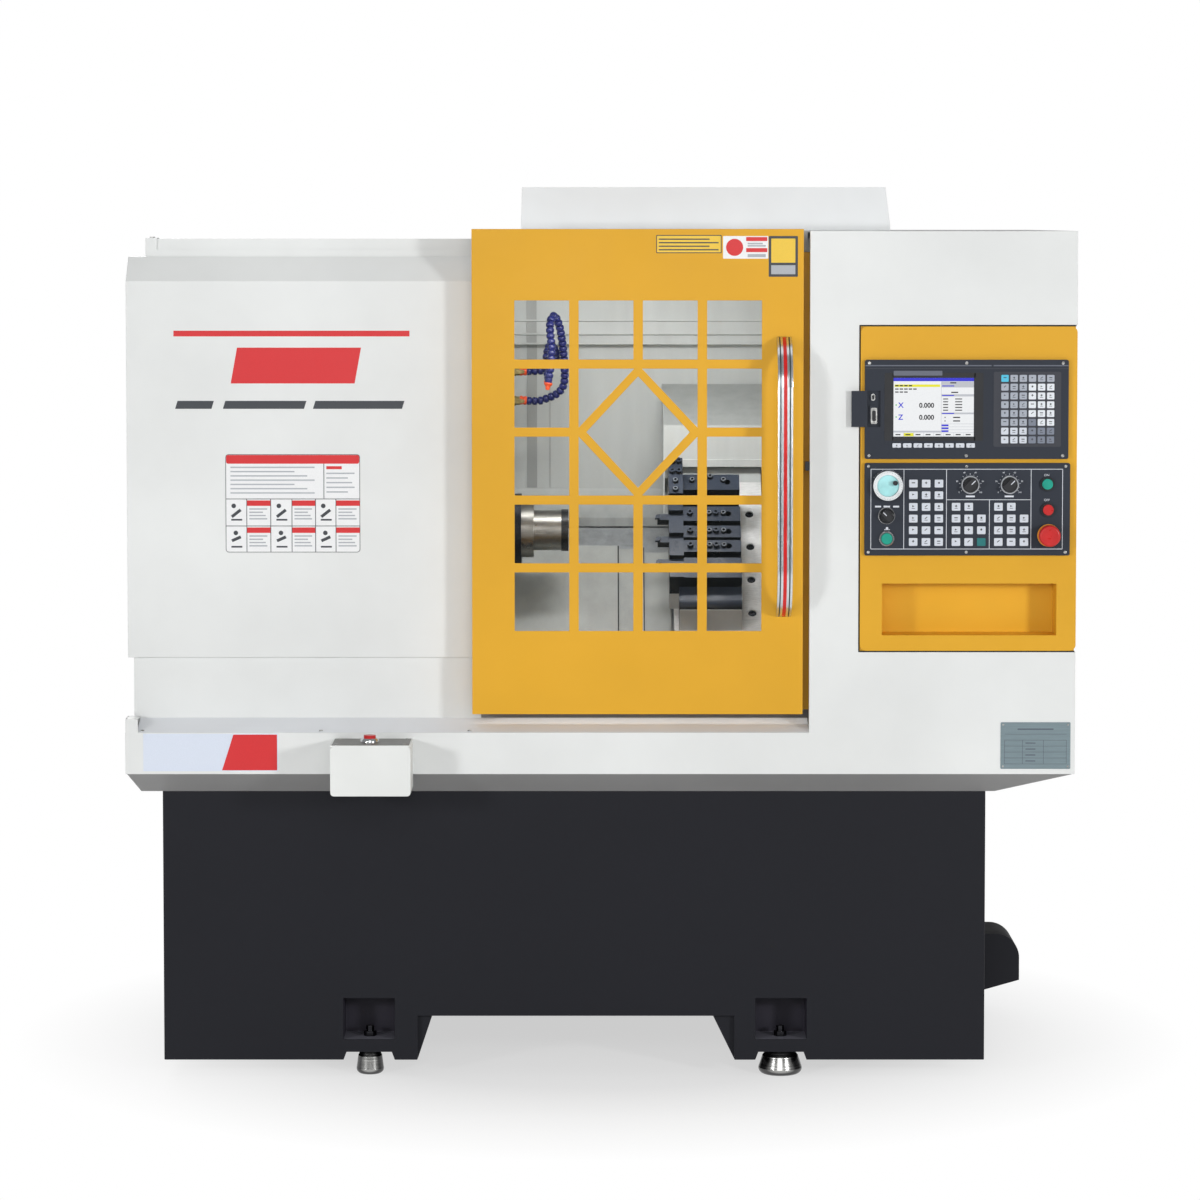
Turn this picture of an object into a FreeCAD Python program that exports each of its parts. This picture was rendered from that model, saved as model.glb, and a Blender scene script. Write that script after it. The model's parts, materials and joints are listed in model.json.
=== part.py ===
import FreeCAD, Part
import math
import os

# A compact turning lathe with a gang of tools on a slanted cross slide.
# Millimetres. X runs along the spindle to the right, Y from the front to the back, Z up.
# While modelling, Y is measured from the front sheet; the finished pieces are moved so
# that the origin is the middle of the footprint on the floor.

V = FreeCAD.Vector

# ---- overall sizes
half_width = 952.0            # front sheet, from the middle to either side
depth_body = 960.0            # front sheet to the back of the enclosure
depth_cabinet = 290.0         # electrical cabinet on the back
sheet = 3.0                   # folded sheet metal
fit = 0.3                     # gap between pieces that pass or seat on each other
running = 0.08                # radial gap of a shaft in its bore

# ---- base and feet
base_left = 66.0 - half_width
base_right = half_width - 171.0
base_front = 80.0
base_back = depth_body - 10.0
base_bottom = 35.0
base_top = 585.0
tunnel_left = -371.0
tunnel_right = 273.0
tunnel_top = 125.0
tunnel_lean_left = 30.0
tunnel_lean_right = 44.0
tunnel_frame = 12.0           # square edged mouth before the leaning walls start
pocket_depth = 84.0
pocket_floor = 77.0
pocket_underside = 51.0
pocket_roof = 161.0
pocket_width = 104.0
foot_x_left = -469.5
foot_x_right = 368.0
foot_inset = 42.0             # stud behind the front or back face of the base
bell_foot_left = 18.0          # radius on the floor
bell_foot_right = 30.0
bell_radius_left = 27.6
bell_radius_right = 44.4
bell_shoulder_left = 24.5
bell_shoulder_right = 36.5
bell_neck_left = 17.6
bell_neck_right = 25.7
bell_belly = 13.0              # height of the widest place
bell_shoulder = 37.0
stud_radius = 8.0
stud_top = 98.0
nut_radius = 13.0
nut_height = 10.0
cowl_reach = 95.0
cowl_low = 127.0
cowl_low_outer = 154.0
cowl_top = 251.0
cowl_round = 50.0
cowl_y = 400.0
cowl_width = 150.0

# ---- drip tray, front sheet and sill
tray_lip = 630.0
tray_rim = 26.0
tray_slope_left = 23.0
tray_slope_right = 150.0
apron_top = 714.0
sill_back = 70.0
sill_rise = 22.0
sill_left = 23.0 - half_width
roof_left = 1666.0
roof_right = 1718.0
cover_edge = 419.0            # free left edge of the right cover
edge_return = 22.0

# ---- headstock cover and side door
cover_front = 60.0
cover_chamfer = 52.0
cover_chamfer_drop = 49.0
cover_right = -240.0
plinth_front = 70.0
plinth_inset = 11.0
plinth_top = 850.0
cover_bottom = 859.0
side_door_front = 180.0
side_door_back = 700.0
hinge_gap = 1.0                # behind the rolled hinge edge
side_door_bottom = 900.0
side_door_top = 1560.0
bar_hole_radius = 48.0

# ---- door opening, rail and hood
surround_back = 100.0
opening_left = -200.0
opening_right = 412.0
opening_bottom = 745.0
opening_top = 1630.0
header_back = 160.0
inner_right = 470.0
rail_left = 57.0 - half_width
rail_right = 430.0
rail_front = 118.0
rail_back = 150.0
rail_base = 14.0
rail_top = 1702.0
rail_side = 4.0
bracket_width = 23.0
hood_left = -162.0
hood_right = 595.0
hood_front = 250.0
hood_back = depth_body - 60.0
hood_seam = roof_right + 10.0
hood_top = hood_seam + 79.0
hood_taper_left = 2.0
hood_taper_right = 10.0

# ---- sliding door
door_left = -256.0
door_right = 406.0
door_bottom = 751.0
door_top = 1722.0
door_depth = 45.0
door_travel = 600.0
flange_reach = 24.0
flange_bottom = 756.0
flange_top = 1676.0
window_left = -170.6
window_bottom = 918.6
cell_width = 109.0
cell_height = 117.5
bar_width = 19.1
bar_height = 18.4
columns = 4
rows = 5
motif_column = 1
motif_row = 2
motif_bar = 17.0
pane_margin = 20.0
pane_thickness = 8.0
handle_x = 367.0
handle_width = 30.0
handle_bottom = 947.0
handle_top = 1508.0
handle_reach = 78.0
handle_curve = 98.0
handle_thickness = 12.0
carriage_length = 90.0
carriage_top = 1712.0
carriage_inset = 60.0
hanger_thickness = 6.0

# ---- operator box, display and control panel
box_left = 520.0
box_bottom = 879.0
box_top = 1528.0
box_front = -2.0
box_back = 150.0
box_gap = 3.0
box_flange = 12.0
box_round = 12.0
recess_left = 564.0
recess_right = 913.0
recess_bottom = 910.0
recess_top = 1014.0
recess_depth = 72.0
panel_front = -10.0
panel_depth = 40.0
panel_margin = 14.0
panel_round = 4.0
display_left = 528.0
display_right = 934.0
display_bottom = 1264.0
display_top = 1462.0
control_left = 528.0
control_right = 938.0
control_bottom = 1071.0
control_top = 1256.0
screen_left = 585.0
screen_right = 745.5
screen_bottom = 1308.5
screen_top = 1426.0
screen_sink = 3.0
port_left = 534.0
port_right = 559.0
port_bottom = display_bottom + 64.0
port_top = port_bottom + 72.0
port_depth = 7.0
flap_width = 30.0
flap_thickness = 2.5
key_rise = 1.0

# ---- palm button box on the apron
palm_left = -534.0
palm_right = -375.0
palm_reach = 113.0
palm_bottom = 601.0
palm_top = 699.0
palm_plate = 3.0
palm_round = 7.0
palm_button_radius = 12.0
palm_ring_radius = 16.0
palm_rise = 14.0
palm_travel = 5.0

# ---- spindle, in the headstock
spindle_to_back = 560.0
spindle_y = depth_body - spindle_to_back
spindle_z = 1091.0
bar_radius = 23.0
shaft_radius = 42.0
shaft_left = -660.0
guard_disc_left = -178.0
guard_disc_radius = 77.0
flange_left = -164.0
flange_radius = 57.0
flange_screw_edge = 8.5
nose_left = -138.5
nose_ring_left = -81.0
nose_right = -66.0
headstock_left = -600.0
headstock_right = -240.0
headstock_round = 12.0
nose_radius = 92.0             # of the headstock's round end, inside the spindle wall
headstock_half = 160.0
headstock_rise = 110.0        # above the spindle axis, square to the slant
pulley_left = -650.0
pulley_width = 40.0
spindle_pulley_radius = 70.0
motor_pulley_radius = 50.0
groove_depth = 4.0
belt_thickness = 6.0
cylinder_length = 82.0
cylinder_radius = 85.0
motor_gap = 5.0                # to the front of the bed
motor_z = 715.0
motor_radius = 77.0
motor_length = 260.0
motor_flange = 14.0
motor_foot_half = 70.0
motor_foot_plate = 12.0
motor_rib_half = 10.0
terminal_left = 70.0
terminal_right = 170.0
terminal_half = 45.0
terminal_rise = 24.0
motor_left = -560.0
motor_shaft_radius = 16.0

# ---- slanted bed, saddle and cross slide
slant_angle = 45.0
table_y = spindle_y + 63.0     # a point on the middle line of the table's top face
table_z = 1026.0
table_left = 155.0
table_right = 345.0
table_half = 215.0
table_thickness = 40.0
table_screw_low = -149.0
table_screw_pitch = 91.0
table_screw_edge = 27.0
block_left = 174.5            # tool blocks on the table
block_right = 294.5
block_height = 100.0
block_base = 30.0
block_rows = ((106.0, 149.0), (19.0, 59.0), (-26.0, 6.0), (-66.0, -34.0), (-136.0, -82.0))
holder_left = block_left - 30.0
tall_block_low = 74.0
tall_block_high = 174.0
tall_block_height = 125.0
nose_block_low = -194.0
nose_block_height = 70.0
shank = 16.0
shank_reach = 24.0
way_height = 25.0
bed_nose_drop = 70.0
bed_heel_drop = 60.0
core_front_wall = 120.0
core_front_height = 130.0
core_back_wall = 110.0
core_back_drop = 200.0
core_end_wall = 60.0
screw_block_length = 20.0
screw_block_half = 25.0
screw_block_rise = 22.0
bed_drop = 190.0              # bed face under the table's top face, square to the slant
saddle_drop = 140.0
saddle_top_drop = 66.0
saddle_left = 150.0
saddle_right = 360.0
saddle_low = -250.0
saddle_high = 300.0
bed_left = -640.0
bed_right = 450.0
bed_low = -230.0
bed_high = 250.0
bed_front = spindle_y - 70.0
bed_back = depth_body - 60.0
motor_y = bed_front - motor_gap - motor_radius
z_way_offset = 160.0
z_way_width = 40.0
z_way_left = -195.0
x_way_width = 25.0
x_way_inset = 20.0
z_screw_drop = 165.0
z_screw_radius = 10.0
x_screw_drop = 53.0
x_screw_radius = 8.0
motor_box = 80.0
x_motor_length = 75.0
z_motor_length = 105.0
z_travel_left = 108.0
z_travel_right = 90.0
x_travel_down = 120.0
x_travel_up = 60.0
way_cover_drop = 45.0
way_cover_low = -300.0
way_cover_high = 75.0
way_cover_skirt = 45.0
way_cover_step = 5.0
way_cover_gap = 2.0            # to the saddle, with the slide at its left end
way_cover_right = saddle_left - z_travel_left - way_cover_gap
way_cover_middle_left = -50.0
way_cover_moving_left = -22.0
hood_x_left = 136.0
hood_x_right = 370.0
hood_x_back = depth_body - 124.0
hood_x_front = hood_x_back - 216.0
hood_x_bottom = 1211.0
hood_x_front_top = 1300.0
hood_x_back_top = 1380.0
hood_x_hem = 16.0
hood_x_hem_rise = 4.0

# ---- sheet lining of the work space
liner = 2.0
back_wall = depth_body - 110.0
ledge_top = 1149.0
ledge_run = 60.0
wall_steps = ((1521.0, 5.0), (1492.0, 14.0), (1470.0, 40.0))
wall_step_drop = 2.0
spindle_wall_left = -205.0

# ---- coolant
hose_radius = 9.0
valve_y = spindle_y + 200.0
valve_low_z = 1354.0
valve_high_z = 1417.0
tank_left = -420.0
tank_right = 420.0
tank_back = base_back + 240.0
tank_bottom = 20.0
tank_top = 420.0
pump_x = 260.0
pump_radius = 70.0
pump_height = 170.0
pump_plate = 10.0
pump_plate_half = 85.0
pump_plate_round = 10.0
pump_shelf = 40.0              # closed top of the tank beside the pump
outlet_root = 5.0
outlet_reach = 40.0
outlet_height = 34.0
outlet_radius = 14.0
runner_inset = 60.0
runner_half = 25.0
runner_end = 20.0

tank_front = base_back

# ---- electrical cabinet
cabinet_left = -560.0
cabinet_right = 640.0
cabinet_bottom = 656.0
cabinet_top = 1600.0
rack_margin = 40.0

# Drives, breakers, transformer and controller: how many, then each one's start from the
# rack's margin, pitch, width, depth, bottom and top.
RACK_ROWS = ((3, 60.0, 140.0, 110.0, 190.0, 1180.0, 1500.0),
             (8, 70.0, 60.0, 46.0, 80.0, 930.0, 1040.0),
             (1, 560.0, 0.0, 220.0, 160.0, 760.0, 960.0),
             (1, 580.0, 0.0, 380.0, 110.0, 1120.0, 1460.0))

depth_total = depth_body + depth_cabinet
middle_y = (depth_total - palm_reach) / 2.0
pieces = {}


# ---- helpers

def box(x0, x1, y0, y1, z0, z1):
    return Part.makeBox(x1 - x0, y1 - y0, z1 - z0, V(x0, y0, z0))


def extrude(points, direction):
    return Part.Face(Part.makePolygon(points + points[:1])).extrude(direction)


def along_x(profile, x0, x1):
    return extrude([V(x0, y, z) for y, z in profile], V(x1 - x0, 0, 0))


def along_y(profile, y0, y1):
    return extrude([V(x, y0, z) for x, z in profile], V(0, y1 - y0, 0))


def along_z(profile, z0, z1):
    return extrude([V(x, y, z0) for x, y in profile], V(0, 0, z1 - z0))


def round_x(x0, x1, y, z, radius):
    return Part.makeCylinder(radius, x1 - x0, V(x0, y, z), V(1, 0, 0))


def round_y(x, y0, y1, z, radius):
    return Part.makeCylinder(radius, y1 - y0, V(x, y0, z), V(0, 1, 0))


def round_z(x, y, z0, z1, radius):
    return Part.makeCylinder(radius, z1 - z0, V(x, y, z0), V(0, 0, 1))


def join(shapes):
    whole = shapes[0].multiFuse(shapes[1:]) if len(shapes) > 1 else shapes[0]
    return whole.removeSplitter()


def group(shapes):
    return Part.makeCompound(shapes)


def edges_along(shape, direction):
    found = []
    for edge in shape.Edges:
        if isinstance(edge.Curve, Part.Line) and abs(edge.Curve.Direction.dot(direction)) > 0.999:
            found.append(edge)
    return found


def soft_box(x0, x1, y0, y1, z0, z1, radius, direction):
    block = box(x0, x1, y0, y1, z0, z1)
    return block.makeFillet(radius, edges_along(block, direction))


def taper(low, high):
    """A block between two level rectangles (x0, x1, y0, y1, z)."""
    rings = []
    for x0, x1, y0, y1, z in (low, high):
        corners = [V(x0, y0, z), V(x1, y0, z), V(x1, y1, z), V(x0, y1, z)]
        rings.append(Part.makePolygon(corners + corners[:1]))
    return Part.makeLoft(rings, True, True)


def bent_sheet(path, x0, x1, thickness):
    """Folded sheet whose section follows a path of (y, z) points."""
    wire = Part.makePolygon([V(x0, y, z) for y, z in path])
    ribbon = wire.makeOffset2D(thickness, 2, True, True)
    return ribbon.extrude(V(x1 - x0, 0, 0))


SLANT_COS = math.cos(math.radians(slant_angle))
SLANT_SIN = math.sin(math.radians(slant_angle))


def slant(a, b):
    """Point (y, z) at a along the slant from the table's middle, b square to its face."""
    return (table_y + a * SLANT_COS - b * SLANT_SIN,
            table_z + a * SLANT_SIN + b * SLANT_COS)


def slant_box(x0, x1, a0, a1, b0, b1):
    return along_x([slant(a0, b0), slant(a1, b0), slant(a1, b1), slant(a0, b1)], x0, x1)


def slant_rod(x, b, a0, a1, radius):
    y, z = slant(a0, b)
    return Part.makeCylinder(radius, a1 - a0, V(x, y, z), V(0, SLANT_COS, SLANT_SIN))


def slant_pin(x, a, b0, b1, radius):
    y, z = slant(a, b0)
    return Part.makeCylinder(radius, b1 - b0, V(x, y, z), V(0, -SLANT_SIN, SLANT_COS))


def slant_of(y, z):
    """The slanted coordinates (a, b) of a point (y, z)."""
    dy = y - table_y
    dz = z - table_z
    return dy * SLANT_COS + dz * SLANT_SIN, dz * SLANT_COS - dy * SLANT_SIN


spindle_a, spindle_b = slant_of(spindle_y, spindle_z)


# ---- base, feet and cowl

FEET = ((foot_x_left, bell_foot_left, bell_radius_left, bell_shoulder_left, bell_neck_left),
        (foot_x_right, bell_foot_right, bell_radius_right, bell_shoulder_right, bell_neck_right))
FOOT_YS = (base_front + foot_inset, base_back - foot_inset)


def foot_pocket(x, y0, y1):
    upper = box(x - pocket_width / 2, x + pocket_width / 2, y0, y1, pocket_floor, pocket_roof)
    notch = along_y([(x - pocket_width / 2, base_bottom), (x + pocket_width / 2, base_bottom),
                     (x + pocket_width / 2 - 6.0, pocket_underside),
                     (x - pocket_width / 2 + 6.0, pocket_underside)], y0, y1)
    return upper.fuse(notch)


def base_cabinet():
    body = box(base_left, base_right, base_front, base_back, base_bottom, base_top)
    cuts = [along_y([(tunnel_left, base_bottom), (tunnel_right, base_bottom),
                     (tunnel_right - tunnel_lean_right, tunnel_top),
                     (tunnel_left + tunnel_lean_left, tunnel_top)], base_front, base_back)]
    for y in (base_front, base_back - tunnel_frame):
        cuts.append(box(tunnel_left, tunnel_right, y, y + tunnel_frame, base_bottom, tunnel_top))
    for x, *radii in FEET:
        cuts.append(foot_pocket(x, base_front, base_front + pocket_depth))
        cuts.append(foot_pocket(x, base_back - pocket_depth, base_back))
        for y in FOOT_YS:
            cuts.append(round_z(x, y, pocket_underside, pocket_floor, stud_radius + fit))
    for cut in cuts:
        body = body.cut(cut)
    return body


def bell(x, y, foot, belly, shoulder, neck):
    """Turned foot with a rounded belly that carries the base on its neck."""
    corner = V(x + foot + 0.75 * (belly - foot), y, 0.25 * bell_belly)
    round_side = Part.Arc(V(x + foot, y, 0), corner, V(x + belly, y, bell_belly)).toShape()
    rest = Part.makePolygon([V(x + belly, y, bell_belly), V(x + shoulder, y, bell_shoulder),
                             V(x + neck, y, pocket_underside), V(x, y, pocket_underside),
                             V(x, y, 0), V(x + foot, y, 0)])
    outline = Part.Face(Part.Wire([round_side] + rest.Edges))
    return outline.revolve(V(x, y, 0), V(0, 0, 1), 360.0)


def levelling_feet():
    solids = []
    for x, foot, belly, shoulder, neck in FEET:
        for y in FOOT_YS:
            stud = round_z(x, y, pocket_underside, stud_top, stud_radius)
            solids.append(join([bell(x, y, foot, belly, shoulder, neck), stud]))
            corners = []
            for k in range(6):
                turn = math.radians(60.0 * k)
                corners.append((x + nut_radius * math.cos(turn), y + nut_radius * math.sin(turn)))
            nut = along_z(corners, pocket_floor, pocket_floor + nut_height)
            solids.append(nut.cut(round_z(x, y, pocket_floor, pocket_floor + nut_height,
                                          stud_radius + running)))
    return group(solids)


def side_cowl():
    def shell(inset):
        right = base_right + cowl_reach - inset
        top = cowl_top - inset
        radius = cowl_round - inset
        diagonal = radius * math.sqrt(0.5)
        outline = Part.Wire([
            Part.makeLine(V(base_right, 0, cowl_low + inset), V(right, 0, cowl_low_outer + inset)),
            Part.makeLine(V(right, 0, cowl_low_outer + inset), V(right, 0, top - radius)),
            Part.Arc(V(right, 0, top - radius),
                     V(right - radius + diagonal, 0, top - radius + diagonal),
                     V(right - radius, 0, top)).toShape(),
            Part.makeLine(V(right - radius, 0, top), V(base_right, 0, top)),
            Part.makeLine(V(base_right, 0, top), V(base_right, 0, cowl_low + inset))])
        block = Part.Face(outline).extrude(V(0, cowl_width - 2 * inset, 0))
        block.translate(V(0, cowl_y - cowl_width / 2 + inset, 0))
        return block
    return shell(0.0).cut(shell(sheet))


# ---- tray, covers and panels

def drip_tray():
    wide = half_width - sheet
    inner_back = depth_body - sheet
    floor_left = tray_slope_left - half_width
    floor_right = wide - tray_slope_right
    low = (floor_left, floor_right, base_front, base_back, base_top)
    high = (-wide, wide, sheet, inner_back, tray_lip)
    outer = taper(low, high)
    inner = taper((floor_left + sheet, floor_right - sheet, base_front + sheet,
                   base_back - sheet, base_top + sheet),
                  (-wide + sheet, wide - sheet, 2 * sheet, inner_back - sheet, tray_lip))
    rim = box(-wide, wide, sheet, inner_back, tray_lip, tray_lip + tray_rim)
    rim = rim.cut(box(-wide + sheet, wide - sheet, 2 * sheet, inner_back - sheet,
                      tray_lip, tray_lip + tray_rim))
    fold = box(-wide, sill_left - fit, sheet, plinth_front - fit,
               tray_lip + tray_rim - sheet, tray_lip + tray_rim)
    return join([outer.cut(inner), rim, fold])


def front_cover():
    face = along_y([(-half_width, tray_lip), (half_width, tray_lip), (half_width, roof_right),
                    (cover_edge, roof_right), (cover_edge, apron_top),
                    (-half_width, apron_top)], 0.0, sheet)
    face = face.cut(box(box_left - box_gap, half_width, 0.0, sheet,
                        box_bottom - box_gap, box_top + box_gap))
    edge = box(cover_edge, cover_edge + sheet, sheet, edge_return, apron_top, roof_right)
    left_end = box(-half_width, -half_width + sheet, sheet, cover_front, tray_lip, apron_top)
    return join([face, edge, left_end])


def door_sill():
    rise_z = apron_top + sill_rise
    profile = [(0.0, apron_top), (sill_back, rise_z), (sill_back, rise_z - sheet),
               (sheet + 6.0, apron_top - 1.0), (sheet, apron_top - 12.0), (sheet, apron_top)]
    return along_x(profile, sill_left, cover_edge)


def cover_section(inset, bottom):
    front = cover_front + inset
    top = roof_left - inset
    slope = inset * 0.41
    return [(front, bottom), (front, roof_left - cover_chamfer_drop - slope),
            (cover_front + cover_chamfer + slope, top), (depth_body - sheet, top),
            (depth_body - sheet, bottom)]


def headstock_cover():
    skin = along_x(cover_section(0.0, cover_bottom), -half_width, cover_right)
    skin = skin.cut(along_x(cover_section(sheet, cover_bottom), -half_width + sheet, cover_right))
    left = -half_width + plinth_inset
    inner_back = depth_body - sheet
    rim_inside = inner_back - sheet
    plinth = box(left, cover_right, plinth_front, rim_inside, tray_lip, cover_bottom)
    plinth = plinth.cut(box(left + sheet, cover_right, plinth_front + sheet, rim_inside,
                            tray_lip, cover_bottom))
    shelf = box(-half_width, cover_right, cover_front, inner_back,
                cover_bottom, cover_bottom + sheet)
    shelf = shelf.cut(box(left + sheet, cover_right, plinth_front + sheet, inner_back,
                          cover_bottom, cover_bottom + sheet))
    whole = join([skin, plinth, shelf])
    hole = box(-half_width, -half_width + sheet, side_door_front, side_door_back,
               side_door_bottom, side_door_top)
    return whole.cut(hole)


def side_door():
    """Flat leaf whose rear edge is rolled round the hinge rod."""
    hinge_y = side_door_back - hinge_gap - sheet / 2
    low = side_door_bottom + fit
    high = side_door_top - fit
    plate = box(-half_width, -half_width + sheet, side_door_front + fit, hinge_y, low, high)
    roll = round_z(-half_width + sheet / 2, hinge_y, low, high, sheet / 2)
    return join([plate, roll]).cut(round_x(-half_width, -half_width + sheet, spindle_y, spindle_z,
                                           bar_hole_radius))


def right_side_panel():
    panel = box(half_width - sheet, half_width, sheet, depth_body, tray_lip, roof_right)
    return panel.cut(box(half_width - sheet, half_width, 0.0, box_back + box_gap,
                         box_bottom - box_gap, box_top + box_gap))


def rear_panel():
    low = box(-half_width, half_width - sheet, depth_body - sheet, depth_body,
              tray_lip, roof_left)
    high = box(cover_right, half_width - sheet, depth_body - sheet, depth_body,
               roof_left, roof_right - sheet)
    return join([low, high])


def roof_panel():
    top = along_z([(cover_right, header_back), (cover_edge + sheet, header_back),
                   (cover_edge + sheet, sheet), (half_width - sheet, sheet),
                   (half_width - sheet, depth_body), (cover_right, depth_body)],
                  roof_right - sheet, roof_right)
    front = box(cover_right, cover_edge + sheet, header_back, header_back + sheet,
                roof_left, roof_right - sheet)
    left = box(cover_right, cover_right + sheet, header_back + sheet, depth_body - sheet,
               roof_left, roof_right - sheet)
    return join([top, front, left])


def roof_hood():
    def shell(inset):
        flange = box(hood_left + inset, hood_right - inset, hood_front + inset,
                     hood_back - inset, roof_right, hood_seam)
        upper = taper((hood_left + inset, hood_right - inset, hood_front + inset,
                       hood_back - inset, hood_seam),
                      (hood_left + hood_taper_left + inset, hood_right - hood_taper_right - inset,
                       hood_front + hood_taper_left + inset, hood_back - hood_taper_right - inset,
                       hood_top - inset))
        return flange.fuse(upper)
    return shell(0.0).cut(shell(sheet)).removeSplitter()


def door_surround():
    ring = box(cover_right, inner_right + liner, plinth_front, surround_back,
               base_top + sheet, roof_left)
    header = box(cover_right, inner_right + liner, surround_back, header_back,
                 opening_top, roof_left)
    opening = box(opening_left, opening_right, plinth_front, surround_back,
                  opening_bottom, opening_top)
    tray_front = along_x([(base_front + sheet, base_top + sheet), (2 * sheet, tray_lip),
                          (sheet, base_top + sheet)], cover_right, inner_right + liner)
    return join([ring, header]).cut(opening).cut(tray_front)


def door_top_rail():
    base = box(rail_left, rail_right, rail_front, rail_back, roof_left, roof_left + rail_base)
    track = box(rail_left, rail_right, rail_front + rail_side, rail_back - rail_side,
                roof_left + rail_base, rail_top)
    bracket = box(rail_left - bracket_width, rail_left, rail_front, rail_back + bracket_width,
                  roof_left, rail_top + 2.0)
    return join([base, track, bracket])


# ---- sliding door

window_right = window_left + columns * cell_width + (columns - 1) * bar_width
window_top = window_bottom + rows * cell_height + (rows - 1) * bar_height


def cell_corner(column, row):
    return (window_left + column * (cell_width + bar_width),
            window_bottom + row * (cell_height + bar_height))


def diamond(x, z, half_x, half_z, y0, y1):
    return along_y([(x - half_x, z), (x, z - half_z), (x + half_x, z), (x, z + half_z)], y0, y1)


def window_grille():
    """The cut-outs of the door's window: small cells and one large cell with a diamond."""
    cuts = []
    for column in range(columns):
        for row in range(rows):
            inside = (column in (motif_column, motif_column + 1)
                      and row in (motif_row, motif_row + 1))
            if not inside:
                x, z = cell_corner(column, row)
                cuts.append(box(x, x + cell_width, 0.0, sheet, z, z + cell_height))
    x0, z0 = cell_corner(motif_column, motif_row)
    x1 = x0 + 2 * cell_width + bar_width
    z1 = z0 + 2 * cell_height + bar_height
    middle_x = (x0 + x1) / 2
    middle_z = (z0 + z1) / 2
    half_x = (x1 - x0) / 2 + motif_bar / 2
    half_z = (z1 - z0) / 2 + motif_bar / 2
    ring = diamond(middle_x, middle_z, half_x, half_z, 0.0, sheet)
    ring = ring.cut(diamond(middle_x, middle_z, half_x - motif_bar * 1.4,
                            half_z - motif_bar * 1.4, 0.0, sheet))
    cuts.append(box(x0, x1, 0.0, sheet, z0, z1).cut(ring))
    return cuts


def sliding_door():
    pan = box(door_left, door_right, 0.0, door_depth, door_bottom, door_top)
    pan = pan.cut(box(door_left + sheet, door_right - sheet, sheet, door_depth,
                      door_bottom + sheet, door_top - sheet))
    flange = box(door_right - sheet, door_right + flange_reach, door_depth - sheet, door_depth,
                 flange_bottom, flange_top)
    skin = pan.fuse(flange)
    for cut in window_grille():
        skin = skin.cut(cut)
    return skin.removeSplitter()


def door_pane():
    return box(window_left - pane_margin, window_right + pane_margin,
               sheet, sheet + pane_thickness,
               window_bottom - pane_margin, window_top + pane_margin)


def door_handle():
    """A flat bow: both ends curve in to the door in a round arc."""
    def arch(reach, curve_end):
        low = handle_bottom + handle_curve
        high = handle_top - handle_curve
        radius = (handle_reach ** 2 + handle_curve ** 2) / (2 * handle_reach)
        middle = radius - handle_reach
        radius -= curve_end
        side = math.sqrt(radius ** 2 - middle ** 2)
        half = math.atan2(side, middle) / 2

        def on_arc(centre_z, sign, turn):
            return V(0, middle - radius * math.cos(turn), centre_z + sign * radius * math.sin(turn))
        return Part.Wire([
            Part.Arc(on_arc(low, -1, 2 * half), on_arc(low, -1, half), V(0, -reach, low)).toShape(),
            Part.makeLine(V(0, -reach, low), V(0, -reach, high)),
            Part.Arc(V(0, -reach, high), on_arc(high, 1, half), on_arc(high, 1, 2 * half)).toShape(),
            Part.makeLine(on_arc(high, 1, 2 * half), on_arc(low, -1, 2 * half))])
    outer = Part.Face(arch(handle_reach, 0.0)).extrude(V(handle_width, 0, 0))
    inner = Part.Face(arch(handle_reach - handle_thickness, handle_thickness))
    bow = outer.cut(inner.extrude(V(handle_width, 0, 0)))
    bow.translate(V(handle_x - handle_width / 2, 0, 0))
    return bow


def door_carriages():
    solids = []
    for x in (door_left + carriage_inset, door_right - carriage_inset - carriage_length):
        x1 = x + carriage_length
        block = box(x, x1, rail_front - 2.0, rail_back + 2.0,
                    roof_left + rail_base + fit, carriage_top)
        groove = box(x, x1, rail_front + rail_side - fit, rail_back - rail_side + fit,
                     roof_left + rail_base, rail_top + fit)
        arm = box(x, x1, door_depth, rail_front - 2.0,
                  carriage_top - hanger_thickness, carriage_top)
        plate = box(x, x1, door_depth, door_depth + hanger_thickness,
                    carriage_top - 38.0, carriage_top - hanger_thickness)
        foot = box(x, x1, sheet + 12.0, door_depth, door_top - sheet - hanger_thickness,
                   door_top - sheet)
        web = box(x, x1, door_depth - hanger_thickness, door_depth,
                  carriage_top - 38.0, door_top - sheet - hanger_thickness)
        solids.append(join([block.cut(groove), arm, plate, foot, web]))
    return group(solids)


# ---- operator box and what is on it

def operator_box():
    body = soft_box(box_left, half_width, box_front, box_back, box_bottom, box_top,
                    box_round, V(0, 1, 0))
    body = body.cut(box(box_left + sheet, half_width - sheet, box_front + sheet, box_back,
                        box_bottom + sheet, box_top - sheet))
    tub = box(recess_left - sheet, recess_right + sheet, box_front, recess_depth + sheet,
              recess_bottom - sheet, recess_top + sheet)
    flange = box(box_left - box_gap - box_flange, half_width - sheet, sheet, 2 * sheet,
                 box_bottom - box_gap - box_flange, box_top + box_gap + box_flange)
    flange = flange.cut(box(box_left + sheet, half_width - sheet, sheet, 2 * sheet,
                            box_bottom + sheet, box_top - sheet))
    body = body.fuse(tub).fuse(flange)
    body = body.cut(box(recess_left, recess_right, box_front, recess_depth,
                        recess_bottom, recess_top))
    for x0, x1, z0, z1 in ((display_left, display_right, display_bottom, display_top),
                           (control_left, control_right, control_bottom, control_top)):
        body = body.cut(box(x0 + panel_margin - fit, x1 - panel_margin + fit, box_front,
                            box_front + sheet, z0 + panel_margin - fit, z1 - panel_margin + fit))
    return body.removeSplitter()


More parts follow.
